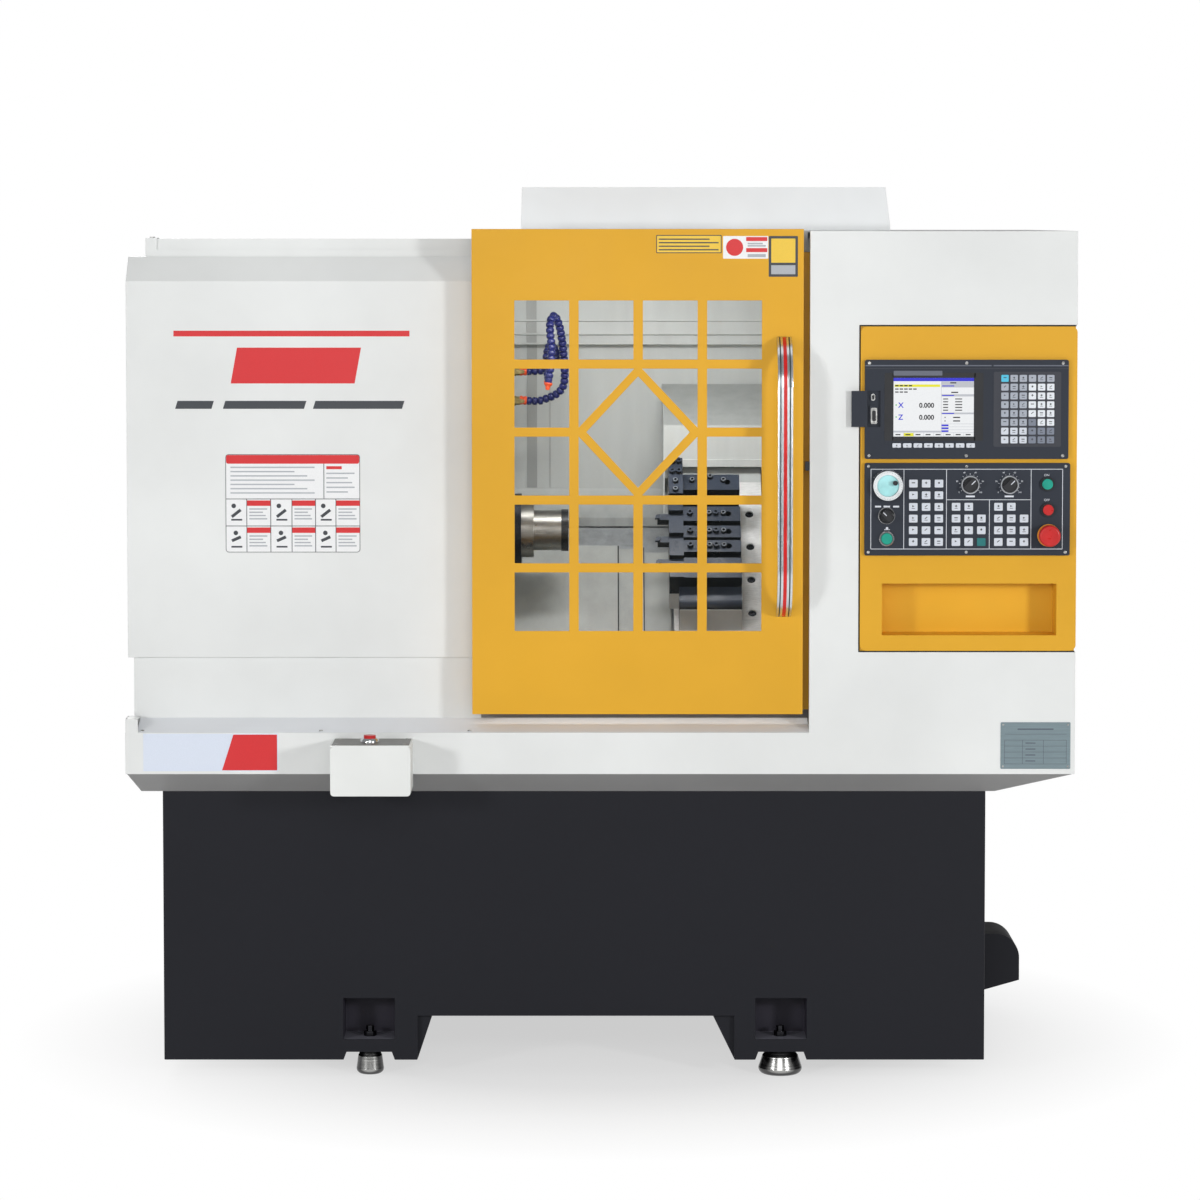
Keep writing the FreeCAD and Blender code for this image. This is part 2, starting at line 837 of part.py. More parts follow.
def panel_body(x0, x1, z0, z1):
    face = soft_box(x0, x1, panel_front, box_front, z0, z1, panel_round, V(0, 1, 0))
    back = box(x0 + panel_margin, x1 - panel_margin, box_front, panel_front + panel_depth,
               z0 + panel_margin, z1 - panel_margin)
    return face.fuse(back)


def key_pads(centres, width, height):
    return [box(x - width / 2, x + width / 2, panel_front - key_rise, panel_front,
                z - height / 2, z + height / 2) for x, z in centres]


SOFT_KEYS = [(591.6 + 21.06 * k, 1291.2) for k in range(8)]
NUMBER_KEYS = [(806.8 + 18.24 * column, 1425.0 - 17.54 * row)
               for column in range(6) for row in range(8)]
JOG_KEYS = [(625.2 + 25.5 * column, 1215.0 - 23.36 * row)
            for column in range(3) for row in range(6)]
MODE_KEYS = [(710.6 + 25.3 * column, 1168.6 - 23.5 * row)
             for column in range(3) for row in range(4) if (column, row) != (2, 0)]
TOOL_KEYS = [(795.2 + 25.6 * column, 1168.6 - 23.5 * row)
             for column in range(3) for row in range(4) if (column, row) != (2, 0)]


def display_unit():
    body = panel_body(display_left, display_right, display_bottom, display_top)
    body = body.cut(box(screen_left, screen_right, panel_front, panel_front + screen_sink,
                        screen_bottom, screen_top))
    body = body.cut(box(port_left, port_right, panel_front, panel_front + port_depth,
                        port_bottom, port_top))
    plug = box(port_left + 4.0, port_right - 10.0, panel_front + 3.0, panel_front + port_depth,
               port_bottom + 10.0, port_bottom + 42.0)
    slot = box(port_left + 5.0, port_right - 12.0, panel_front + 4.0, panel_front + port_depth,
               port_bottom + 52.0, port_bottom + 64.0)
    pads = key_pads(SOFT_KEYS, 17.8, 9.6) + key_pads(NUMBER_KEYS, 15.4, 14.6)
    return join([body, plug, slot] + pads)


# ---- switches and buttons on the control panel: x, z, radius
POWER_ON = (892.4, 1214.0, 13.8)
POWER_OFF = (894.0, 1162.6, 13.8)
CYCLE_START = (572.2, 1105.0, 14.2)
STOP_BUTTON = (895.2, 1112.0, 21.4)
MODE_SWITCH = (572.2, 1150.4, 14.8)
FEED_SWITCH = (738.6, 1212.8, 18.0)
SPEED_SWITCH = (817.0, 1212.8, 18.0)
HAND_WHEEL = (574.0, 1211.2, 29.4)
bezel_rise = 5.0
bezel_wall = 3.0
button_sink = 14.0
button_proud = 4.0
button_travel = 4.0
stem_radius = 9.0
stop_head_back = -28.0
stop_head_front = -46.0
stop_collar_radius = 16.0
knob_height = 20.0
mode_heading = -45.0          # degrees clockwise from upright, seen from the front
rate_heading = 45.0
wheel_height = 16.0


def control_panel():
    body = panel_body(control_left, control_right, control_bottom, control_top)
    pads = key_pads(JOG_KEYS + MODE_KEYS + TOOL_KEYS, 17.8, 16.4)
    body = join([body] + pads)
    for x, z, radius in (POWER_ON, POWER_OFF, CYCLE_START):
        body = body.fuse(round_y(x, panel_front - bezel_rise, panel_front, z, radius))
        body = body.cut(round_y(x, panel_front - bezel_rise, panel_front + button_sink
                                + button_travel, z, radius - bezel_wall))
    x, z, radius = STOP_BUTTON
    body = body.fuse(round_y(x, stop_head_back + button_travel + 1.0, panel_front, z,
                             stop_collar_radius))
    body = body.cut(round_y(x, stop_head_back, panel_front + button_sink + button_travel, z,
                            stem_radius + fit))
    for x, z, radius in (MODE_SWITCH, FEED_SWITCH, SPEED_SWITCH, HAND_WHEEL):
        body = body.cut(round_y(x, panel_front, panel_front + button_sink, z, stem_radius / 2 + fit))
    return body.removeSplitter()


def push_button(place):
    x, z, radius = place
    return round_y(x, panel_front - bezel_rise - button_proud, panel_front + button_sink, z,
                   radius - bezel_wall - fit)


def estop_button():
    x, z, radius = STOP_BUTTON
    head = round_y(x, stop_head_front, stop_head_back, z, radius)
    rim = [edge for edge in head.Edges if edge.BoundBox.YMax < stop_head_front + 0.5
           and edge.BoundBox.XLength > radius]
    head = head.makeFillet(5.0, rim)
    return head.fuse(round_y(x, stop_head_back, panel_front + button_sink, z, stem_radius))


def rotary_knob(place, height, heading):
    """Knob with a skirt and a flat sided grip that points along the heading."""
    x, z, radius = place
    front = panel_front - fit - height
    skirt = Part.makeCone(radius * 0.8, radius, height * 0.4, V(x, panel_front - fit - height * 0.4, z),
                          V(0, 1, 0))
    grip = round_y(x, front, panel_front - fit - height * 0.4, z, radius * 0.8)
    side = radius * 0.42
    for sign in (-1, 1):
        edge_x = x + sign * side
        grip = grip.cut(box(min(edge_x, edge_x + sign * radius), max(edge_x, edge_x + sign * radius),
                            front, panel_front - fit - height * 0.4, z - radius, z + radius))
    grip.rotate(V(x, 0.0, z), V(0, 1, 0), heading)
    stem = round_y(x, panel_front - fit, panel_front + button_sink, z, stem_radius / 2)
    return join([skirt, grip, stem])


def handwheel():
    x, z, radius = HAND_WHEEL
    front = panel_front - fit - wheel_height
    rim = round_y(x, front, panel_front - fit, z, radius)
    dish = round_y(x, front, front + 3.0, z, radius * 0.74)
    knob = round_y(x + radius * 0.47, front - 9.0, front + 3.0, z + radius * 0.2, radius * 0.16)
    stem = round_y(x, panel_front - fit, panel_front + button_sink, z, stem_radius / 2)
    return join([rim.cut(dish), knob, stem])


def port_flap():
    knuckle = round_z(port_left - 3.0, panel_front - 2.0, port_bottom, port_top, 1.5)
    leaf = box(port_left - 3.0 - flap_width, port_left - 3.0,
               panel_front - 2.0 - flap_thickness / 2, panel_front - 2.0 + flap_thickness / 2,
               port_bottom, port_top)
    return join([knuckle, leaf])


# ---- palm button box

palm_x = (palm_left + palm_right) / 2 - 4.0
palm_y = -palm_reach / 2


def palm_button_box():
    """Folded box on the apron with a flat lid that carries the button's ring and barrel."""
    body = soft_box(palm_left, palm_right, -palm_reach, 0.0, palm_bottom, palm_top,
                    palm_round, V(0, 1, 0))
    body = body.cut(box(palm_left + sheet, palm_right - sheet, -palm_reach + sheet, -sheet,
                        palm_bottom + sheet, palm_top))
    plate = box(palm_left, palm_right, -palm_reach, 0.0, palm_top, palm_top + palm_plate)
    ring = round_z(palm_x, palm_y, palm_top + palm_plate, palm_top + palm_plate + 4.0,
                   palm_ring_radius)
    barrel = round_z(palm_x, palm_y, palm_top - 40.0, palm_top, palm_ring_radius)
    whole = join([body, plate, ring, barrel])
    return whole.cut(round_z(palm_x, palm_y, palm_top - 34.0, palm_top + palm_plate + 4.0,
                             palm_button_radius + fit))


def palm_button():
    return round_z(palm_x, palm_y, palm_top - 34.0 + palm_travel + 1.0,
                   palm_top + palm_plate + palm_rise, palm_button_radius)


# ---- bed, headstock and spindle

def bed_casting():
    low_y, low_z = slant(bed_low, -bed_drop)
    high_y, high_z = slant(bed_high, -bed_drop)
    foot_z = base_top + sheet
    bed = along_x([(bed_front, foot_z), (bed_front, low_z - bed_nose_drop), (low_y, low_z),
                   (high_y, high_z), (bed_back, high_z - bed_heel_drop), (bed_back, foot_z)],
                  bed_left, bed_right)
    core_front = bed_front + core_front_wall
    core_back = bed_back - core_back_wall
    core = along_x([(core_front, foot_z), (core_front, foot_z + core_front_height),
                    (core_back, high_z - core_back_drop), (core_back, foot_z)],
                   bed_left + core_end_wall, bed_right - core_end_wall)
    parts = [bed.cut(core)]
    for middle in (-z_way_offset, z_way_offset):
        parts.append(slant_box(z_way_left, bed_right, middle - z_way_width / 2,
                               middle + z_way_width / 2, -bed_drop, -bed_drop + way_height))
    for x0, x1 in ((z_way_left, z_way_left + screw_block_length),
                   (bed_right - screw_block_length, bed_right)):
        block = slant_box(x0, x1, -screw_block_half, screw_block_half, -bed_drop,
                          -z_screw_drop + screw_block_rise)
        y, z = slant(0.0, -z_screw_drop)
        parts.append(block.cut(round_x(x0, x1, y, z, z_screw_radius + running)))
    return join(parts)


def headstock():
    body = slant_box(headstock_left, headstock_right, spindle_a - headstock_half,
                     spindle_a + headstock_half, -bed_drop, spindle_b + headstock_rise)
    upper = [edge for edge in edges_along(body, V(1, 0, 0))
             if slant_of(edge.Vertexes[0].Y, edge.Vertexes[0].Z)[1] > 0]
    body = body.makeFillet(headstock_round, upper)
    nose = round_x(headstock_right, spindle_wall_left - fit, spindle_y, spindle_z, nose_radius)
    body = body.fuse(nose)
    return body.cut(round_x(headstock_left, spindle_wall_left, spindle_y, spindle_z,
                            shaft_radius + running)).removeSplitter()


def spindle_shaft():
    shaft = round_x(shaft_left, flange_left, spindle_y, spindle_z, shaft_radius)
    disc = round_x(guard_disc_left, flange_left, spindle_y, spindle_z, guard_disc_radius)
    return join([shaft, disc]).cut(round_x(shaft_left, flange_left, spindle_y, spindle_z,
                                           bar_radius))


def spindle_nose():
    """Collet nose: bolted flange, slotted barrel and end ring round the bar bore."""
    flange = round_x(flange_left, nose_left, spindle_y, spindle_z, flange_radius)
    for k in range(6):
        turn = math.radians(60.0 * k + 30.0)
        y = spindle_y + (flange_radius - flange_screw_edge) * math.cos(turn)
        z = spindle_z + (flange_radius - flange_screw_edge) * math.sin(turn)
        flange = flange.cut(round_x(nose_left - 6.0, nose_left, y, z, 5.0))
    body = round_x(nose_left, nose_ring_left, spindle_y, spindle_z, shaft_radius)
    ring = round_x(nose_ring_left, nose_right, spindle_y, spindle_z, shaft_radius + 1.5)
    whole = join([flange, body, ring])
    for k in range(3):
        turn = math.radians(120.0 * k + 90.0)
        x0 = nose_left + 4.0
        slot = box(x0, x0 + 22.0, -4.0, 4.0, shaft_radius - 6.0, shaft_radius + 3.0)
        slot.rotate(V(0, 0, 0), V(1, 0, 0), math.degrees(turn))
        slot.translate(V(0, spindle_y, spindle_z))
        whole = whole.cut(slot)
    return whole.cut(round_x(flange_left, nose_right, spindle_y, spindle_z,
                             bar_radius)).removeSplitter()


def pulley(y, z, radius, bore):
    """Three-groove belt pulley turned from one blank."""
    half = [V(pulley_left, radius, 0)]
    pitch = pulley_width / 3
    for k in range(3):
        middle = pulley_left + (k + 0.5) * pitch
        half += [V(middle - pitch * 0.3, radius, 0), V(middle - pitch * 0.12, radius - groove_depth, 0),
                 V(middle + pitch * 0.12, radius - groove_depth, 0), V(middle + pitch * 0.3, radius, 0)]
    half += [V(pulley_left + pulley_width, radius, 0), V(pulley_left + pulley_width, bore, 0),
             V(pulley_left, bore, 0)]
    wheel = Part.Face(Part.makePolygon(half + half[:1])).revolve(V(0, 0, 0), V(1, 0, 0), 360)
    wheel.translate(V(0, y, z))
    return wheel


def spindle_pulley():
    return pulley(spindle_y, spindle_z, spindle_pulley_radius, shaft_radius + running)


def motor_pulley():
    wheel = pulley(motor_y, motor_z, motor_pulley_radius, motor_shaft_radius - 1.0)
    shaft = round_x(pulley_left, motor_left + 40.0, motor_y, motor_z, motor_shaft_radius)
    return join([wheel, shaft])


def clamping_cylinder():
    body = round_x(shaft_left - cylinder_length, shaft_left, spindle_y, spindle_z,
                   cylinder_radius)
    hub = round_x(shaft_left - cylinder_length - 18.0, shaft_left - cylinder_length,
                  spindle_y, spindle_z, cylinder_radius * 0.6)
    return join([body, hub]).cut(round_x(shaft_left - cylinder_length - 18.0, shaft_left,
                                         spindle_y, spindle_z, bar_radius))


def belt_outline(radius_one, radius_two, x0, x1):
    """Two discs and the strip between their outer tangents."""
    dy = motor_y - spindle_y
    dz = motor_z - spindle_z
    apart = math.hypot(dy, dz)
    heading = math.atan2(dz, dy)
    tilt = math.acos((radius_one - radius_two) / apart)
    corners = []
    for y, z, radius, sign in ((spindle_y, spindle_z, radius_one, 1), (motor_y, motor_z, radius_two, 1),
                               (motor_y, motor_z, radius_two, -1), (spindle_y, spindle_z, radius_one, -1)):
        turn = heading + sign * tilt
        corners.append((y + radius * math.cos(turn), z + radius * math.sin(turn)))
    return join([along_x(corners, x0, x1), round_x(x0, x1, spindle_y, spindle_z, radius_one),
                 round_x(x0, x1, motor_y, motor_z, radius_two)])


def drive_belt():
    x0 = pulley_left + 1.0
    x1 = pulley_left + pulley_width - 1.0
    inner_one = spindle_pulley_radius + fit
    inner_two = motor_pulley_radius + fit
    outer = belt_outline(inner_one + belt_thickness, inner_two + belt_thickness, x0, x1)
    return outer.cut(belt_outline(inner_one, inner_two, x0, x1))


def spindle_motor():
    body = round_x(motor_left, motor_left + motor_length, motor_y, motor_z, motor_radius)
    floor = base_top + sheet
    foot_right = motor_left + motor_length * 0.8
    face = box(motor_left, motor_left + motor_flange, motor_y - motor_foot_half,
               motor_y + motor_foot_half, floor, motor_z)
    foot = box(motor_left, foot_right, motor_y - motor_foot_half, motor_y + motor_foot_half,
               floor, floor + motor_foot_plate)
    rib = box(motor_left, foot_right, motor_y - motor_rib_half, motor_y + motor_rib_half,
              floor + motor_foot_plate, motor_z)
    terminal = box(motor_left + terminal_left, motor_left + terminal_right,
                   motor_y - terminal_half, motor_y + terminal_half,
                   motor_z, motor_z + motor_radius + terminal_rise)
    whole = join([body, face, foot, rib, terminal])
    return whole.cut(round_x(motor_left, motor_left + 44.0, motor_y, motor_z,
                             motor_shaft_radius + running))


# ---- saddle, screws and cross slide

def z_axis_motor():
    y, z = slant(0.0, -z_screw_drop)
    half = motor_box / 2
    body = soft_box(inner_right + liner, inner_right + liner + z_motor_length, y - half, y + half,
                    z - half, z + half, 10.0, V(1, 0, 0))
    boss = round_x(bed_right, inner_right + liner, y, z, 18.0)
    whole = join([body, boss])
    return whole.cut(round_x(bed_right, inner_right + liner + 30.0, y, z,
                             z_screw_radius + running))


def z_ball_screw():
    y, z = slant(0.0, -z_screw_drop)
    return round_x(z_way_left, inner_right + liner + 28.0, y, z, z_screw_radius)


def saddle():
    plate = slant_box(saddle_left, saddle_right, saddle_low, saddle_high,
                      -saddle_drop, -saddle_top_drop)
    parts = [plate]
    for middle in (-z_way_offset, z_way_offset):
        shoe = slant_box(saddle_left + 8.0, saddle_right - 8.0, middle - z_way_width / 2 - 16.0,
                         middle + z_way_width / 2 + 16.0, -bed_drop + 4.0, -saddle_drop)
        way = slant_box(saddle_left + 8.0, saddle_right - 8.0, middle - z_way_width / 2 - fit,
                        middle + z_way_width / 2 + fit, -bed_drop + 4.0,
                        -bed_drop + way_height + fit)
        parts.append(shoe.cut(way))
    y, z = slant(0.0, -z_screw_drop)
    nut = slant_box(saddle_left + 70.0, saddle_left + 140.0, -22.0, 22.0,
                    -bed_drop + 4.0, -saddle_drop)
    parts.append(nut.cut(round_x(saddle_left, saddle_right, y, z, z_screw_radius + running)))
    for x in (table_left + x_way_inset, table_right - x_way_inset - x_way_width):
        parts.append(slant_box(x, x + x_way_width, saddle_low, saddle_high - 20.0,
                               -saddle_top_drop, -table_thickness - fit))
    middle_x = (table_left + table_right) / 2
    for a0, a1 in ((saddle_low, saddle_low + 15.0), (saddle_high - 15.0, saddle_high)):
        block = slant_box(middle_x - 24.0, middle_x + 24.0, a0, a1,
                          -saddle_top_drop, -table_thickness - 2.0)
        parts.append(block.cut(slant_rod(middle_x, -x_screw_drop, a0, a1,
                                         x_screw_radius + running)))
    return join(parts)


def x_ball_screw():
    return slant_rod((table_left + table_right) / 2, -x_screw_drop, saddle_low,
                     saddle_high + 28.0, x_screw_radius)


def x_axis_motor():
    middle_x = (table_left + table_right) / 2
    half = motor_box / 2
    body = slant_box(middle_x - half, middle_x + half, saddle_high, saddle_high + x_motor_length,
                     -x_screw_drop - half, -x_screw_drop + half)
    body = body.makeFillet(8.0, edges_along(body, V(0, SLANT_COS, SLANT_SIN)))
    return body.cut(slant_rod(middle_x, -x_screw_drop, saddle_high, saddle_high + 30.0,
                              x_screw_radius + running))


def x_axis_cover():
    """Sheet hood over the top end of the cross slide, open below for the slide to pass."""
    def shell(inset):
        return along_x([(hood_x_front + inset, hood_x_bottom), (hood_x_back - inset, hood_x_bottom),
                        (hood_x_back - inset, hood_x_back_top - 1.5 * inset),
                        (hood_x_front + inset, hood_x_front_top - inset)],
                       hood_x_left + inset, hood_x_right - inset)

    hem = box(hood_x_left, hood_x_right, hood_x_front - hood_x_hem_rise, hood_x_front,
              hood_x_bottom, hood_x_bottom + hood_x_hem)
    hood = join([shell(0.0).cut(shell(sheet)), hem])
    low = -saddle_top_drop - sheet
    end_y, end_z = slant(saddle_high, low)
    front_a = (hood_x_front - table_y) / SLANT_COS + low * SLANT_SIN / SLANT_COS
    cheek = [(hood_x_front, hood_x_bottom), (hood_x_back, hood_x_bottom), (end_y, end_z),
             slant(front_a, low)]
    parts = [hood, along_x(cheek, hood_x_left, hood_x_left + sheet),
             along_x(cheek, hood_x_right - sheet, hood_x_right)]
    for x0, x1 in ((hood_x_left, saddle_left), (saddle_right, hood_x_right)):
        parts.append(slant_box(x0, x1, front_a + 15.0, saddle_high - 15.0,
                               low, -saddle_top_drop))
    return join(parts)


def way_cover(x0, x1, level):
    inset = level * (way_cover_step + fit)
    a0 = way_cover_low + inset
    a1 = way_cover_high - inset
    top = -way_cover_drop - inset
    outer = slant_box(x0, x1, a0, a1, top - way_cover_skirt, top)
    return outer.cut(slant_box(x0, x1, a0 + way_cover_step, a1 - way_cover_step,
                               top - way_cover_skirt, top - way_cover_step))


def way_cover_fixed():
    return way_cover(spindle_wall_left + sheet, way_cover_right, 0)


def way_cover_middle():
    right = saddle_left - z_travel_left / 2 - way_cover_gap
    return way_cover(way_cover_middle_left, right, 1)


def way_cover_moving():
    return way_cover(way_cover_moving_left, saddle_left, 2)


def cross_slide():
    table = slant_box(table_left, table_right, -table_half, table_half, -table_thickness, 0.0)
    middle_x = (table_left + table_right) / 2
    nut = slant_box(middle_x - 20.0, middle_x + 20.0, -30.0, 30.0,
                    -saddle_top_drop + 2.0, -table_thickness)
    body = table.fuse(nut)
    body = body.cut(slant_rod(middle_x, -x_screw_drop, -table_half, table_half,
                              x_screw_radius + running))
    for k in range(4):
        a = table_screw_low + k * table_screw_pitch
        for x in (table_left + table_screw_edge, table_right - table_screw_edge):
            body = body.cut(slant_pin(x, a, -6.0, 0.0, 9.0))
    return body.removeSplitter()


def cap_screw(x, a, b):
    """Socket head screw standing on a face square to the slant."""
    return slant_pin(x, a, b, b + 8.0, 6.5).cut(slant_pin(x, a, b + 4.0, b + 8.0, 3.0))


def tool_blocks():
    """The gang of tool holders: bars across the table, a tall holder and a nose block."""
    base = slant_box(block_left, block_right, block_rows[-1][0], block_rows[0][1],
                     0.0, block_base)
    parts = [base]
    for a0, a1 in block_rows:
        bar = slant_box(block_left, block_right, a0, a1, block_base, block_height)
        middle = (a0 + a1) / 2
        for x in (block_left + 38.0, block_right - 26.0):
            bar = bar.cut(slant_pin(x, middle, block_height - 22.0, block_height, 7.0))
        y, z = slant(middle, spindle_b - 34.0)
        bar = bar.cut(round_x(block_left, block_right, y, z, 10.0))
        parts.append(bar)
    parts.append(slant_box(holder_left, block_left, tall_block_low, tall_block_high,
                           0.0, tall_block_height))
    low = block_rows[-1][0]
    parts.append(slant_box(holder_left, block_left, low, tall_block_low - 12.0,
                           0.0, spindle_b - shank / 2 + 20.0))
    nose = slant_box(holder_left + 20.0, block_right, nose_block_low, low, 0.0, nose_block_height)
    parts.append(nose.makeFillet(22.0, [edge for edge in edges_along(nose, V(1, 0, 0))
                                        if slant_of(edge.Vertexes[0].Y, edge.Vertexes[0].Z)[0]
                                        < nose_block_low + 1.0
                                        and slant_of(edge.Vertexes[0].Y, edge.Vertexes[0].Z)[1]
                                        > 1.0]))
    whole = join(parts)
    for a in TOOL_ROWS:
        whole = whole.cut(slant_box(holder_left, block_left, a, a + shank + fit,
                                    spindle_b - shank, spindle_b + 60.0))
    screws = []
    for x in (holder_left + 8.0, block_left - 8.0):
        screws.append(cap_screw(x, tall_block_high - 12.0, tall_block_height))
        screws.append(cap_screw(x, tall_block_high - 40.0, tall_block_height))
    for a0, a1 in block_rows[1:4]:
        screws.append(cap_screw(block_left + 14.0, (a0 + a1) / 2, block_height))
        screws.append(cap_screw(block_right - 52.0, (a0 + a1) / 2, block_height))
    return join([whole] + screws)


TOOL_ROWS = (30.0, -32.0, -94.0)


def cutting_tools():
    """Square shanks with a diamond insert, clamped in the holders and facing the spindle."""
    tools = []
    for a in TOOL_ROWS:
        b0 = spindle_b - shank
        body = slant_box(holder_left - shank_reach, block_left, a, a + shank, b0, spindle_b)
        tip_left = holder_left - shank_reach - 5.0
        corners = []
        for x, da in ((tip_left, 0.5), (tip_left + 10.0, 2.0), (tip_left + 12.0, 12.0),
                      (tip_left + 2.0, 10.5)):
            y, z = slant(a + da, spindle_b)
            corners.append(V(x, y, z))
        lift = V(0, -SLANT_SIN * 4.0, SLANT_COS * 4.0)
        tools.append(join([body, extrude(corners, lift)]))
    return group(tools)


# ---- lining of the work space

ceiling_back = back_wall - sum(depth for z, depth in wall_steps)


def side_lining(x0, x1):
    """Flat side sheet between the door frame and the back wall, down to the tray."""
    return along_x([(surround_back, base_top + sheet), (surround_back, opening_top),
                    (ceiling_back, opening_top), (back_wall, wall_steps[-1][0] - wall_step_drop),
                    (back_wall, ledge_top), (back_wall, base_top + sheet)], x0, x1)


def inner_back_wall():
    """Ceiling, back wall and right wall of the work space, welded from bent sheet."""
    path = [(header_back, opening_top), (ceiling_back, opening_top)]
    y = ceiling_back
    for z, depth in wall_steps:
        path += [(y, z), (y + depth, z - wall_step_drop)]
        y += depth
    path += [(back_wall, ledge_top), (back_wall - ledge_run, ledge_top - ledge_run),
             (back_wall - ledge_run, slant(bed_high, -bed_drop)[1] + liner)]
    lining = bent_sheet(path, spindle_wall_left + sheet, inner_right, liner)
    right = side_lining(inner_right, inner_right + liner)
    y, z = slant(0.0, -z_screw_drop)
    right = right.cut(round_x(inner_right, inner_right + liner, y, z, 18.0 + fit))
    return join([lining, right])


def spindle_wall():
    panel = side_lining(spindle_wall_left, spindle_wall_left + sheet)
    panel = panel.cut(bed_casting())
    panel = panel.cut(round_x(spindle_wall_left, spindle_wall_left + sheet, spindle_y, spindle_z,
                              shaft_radius + 4.0))
    solids = sorted(panel.Solids, key=lambda solid: solid.Volume)
    return solids[-1]


# ---- coolant supply

def tube(points, radius):
    """Round tube on straight runs joined by tangent arcs."""
    edges = []
    start = points[0]
    for k in range(1, len(points) - 1):
        before = points[k] - points[k - 1]
        after = points[k + 1] - points[k]
        turn = before.getAngle(after)
        cut = 0.45 * min(before.Length, after.Length)
        bend = cut / math.tan(turn / 2)
        one = V(before).normalize()
        two = V(after).normalize()
        enter = points[k] - one * cut
        leave = points[k] + two * cut
        inward = (two - one).normalize()
        middle = points[k] + inward * (bend / math.cos(turn / 2) - bend)
        edges.append(Part.makeLine(start, enter))
        edges.append(Part.Arc(enter, middle, leave).toShape())
        start = leave
    edges.append(Part.makeLine(start, points[-1]))
    path = Part.Wire(edges)
    ring = Part.Wire(Part.makeCircle(radius, points[0], points[1] - points[0]))
    return path.makePipeShell([ring], True, False)


valve_right = spindle_wall_left + sheet + 30.0
LOWER_HOSE = [V(valve_right + 12.0, valve_y, valve_low_z), V(-126.0, valve_y, valve_low_z),
              V(-92.0, valve_y - 8.0, 1370.0), V(-75.0, valve_y - 20.0, 1408.0),
              V(-78.0, valve_y - 38.0, 1462.0), V(-86.0, valve_y - 62.0, 1522.0),
              V(-97.0, valve_y - 80.0, 1542.0), V(-106.0, valve_y - 93.0, 1521.0),
              V(-102.0, valve_y - 110.0, 1468.0), V(-108.0, valve_y - 121.0, 1405.0)]
UPPER_HOSE = [V(valve_right + 12.0, valve_y, valve_high_z), V(-130.0, valve_y, valve_high_z),
              V(-101.0, valve_y - 4.0, 1426.0), V(-93.0, valve_y - 12.0, 1452.0),
              V(-104.0, valve_y - 37.0, 1476.0), V(-115.0, valve_y - 56.0, 1454.0),
              V(-113.0, valve_y - 70.0, 1407.0)]


def coolant_hoses():
    return group([tube(LOWER_HOSE, hose_radius), tube(UPPER_HOSE, hose_radius)])


def hose_nozzle(end, before):
    heading = (end - before).normalize()
    return Part.makeCone(hose_radius, 4.0, 24.0, end, heading)


def coolant_fittings():
    solids = []
    for z, route in ((valve_low_z, LOWER_HOSE), (valve_high_z, UPPER_HOSE)):
        valve = round_x(spindle_wall_left + sheet, valve_right, valve_y, z, hose_radius + 2.0)
        collar = round_x(valve_right, valve_right + 12.0, valve_y, z, hose_radius + 1.0)
        stem = round_y(valve_right - 14.0, valve_y - 26.0, valve_y, z, 5.0)
        lever = box(valve_right - 30.0, valve_right - 8.0, valve_y - 30.0, valve_y - 26.0,
                    z - 5.0, z + 5.0)
        solids.append(join([valve, collar, stem, lever]))
        solids.append(hose_nozzle(route[-1], route[-2]))
    return group(solids)


def coolant_unit():
    tank = soft_box(tank_left, tank_right, tank_front, tank_back, tank_bottom, tank_top,
                    8.0, V(0, 0, 1))
    tank = tank.cut(box(tank_left + sheet, pump_x - pump_radius - pump_shelf, tank_front + sheet,
                        tank_back - sheet, tank_bottom + sheet, tank_top))
    parts = [tank]
    for x in (tank_left + runner_inset, tank_right - runner_inset):
        parts.append(box(x - runner_half, x + runner_half, tank_front + runner_end,
                         tank_back - runner_end, 0.0, tank_bottom))
    pump_y = (tank_front + tank_back) / 2
    plate_top = tank_top + pump_plate
    pump = round_z(pump_x, pump_y, plate_top, tank_top + pump_height, pump_radius)
    base = soft_box(pump_x - pump_plate_half, pump_x + pump_plate_half,
                    pump_y - pump_plate_half, pump_y + pump_plate_half, tank_top,
                    plate_top, pump_plate_round, V(0, 0, 1))
    outlet = round_x(pump_x + pump_radius - outlet_root, pump_x + pump_radius + outlet_reach,
                     pump_y, tank_top + outlet_height, outlet_radius)
    return group([join(parts), join([pump, base, outlet])])


def drive_motors():
    return group([spindle_motor(), z_axis_motor()])


# ---- electrical cabinet

def electrical_cabinet():
    case = box(cabinet_left, cabinet_right, depth_body, depth_total - sheet,
               cabinet_bottom, cabinet_top)
    return case.cut(box(cabinet_left + sheet, cabinet_right - sheet, depth_body + sheet,
                        depth_total - sheet, cabinet_bottom + sheet, cabinet_top - sheet))


def cabinet_door():
    half = (sheet - fit) / 2
    leaf = box(cabinet_left + half, cabinet_right, depth_total - 2 * half, depth_total,
               cabinet_bottom, cabinet_top)
    leaf = leaf.fuse(round_z(cabinet_left + half, depth_total - half, cabinet_bottom,
                             cabinet_top, half))
    lock = box(cabinet_right - 60.0, cabinet_right - 30.0, depth_total - sheet + fit,
               depth_total, 1100.0, 1180.0)
    return leaf.cut(lock.translated(V(0, sheet - 1.2, 0)))


def drive_rack():
    front = depth_body + sheet
    parts = [box(cabinet_left + rack_margin, cabinet_right - rack_margin, front, front + sheet,
                 cabinet_bottom + rack_margin, cabinet_top - rack_margin)]
    left = cabinet_left + rack_margin
    for count, start, pitch, width, depth, low, high in RACK_ROWS:
        for k in range(count):
            x = left + start + pitch * k
            parts.append(box(x, x + width, front + sheet, front + depth, low, high))
    return join(parts)


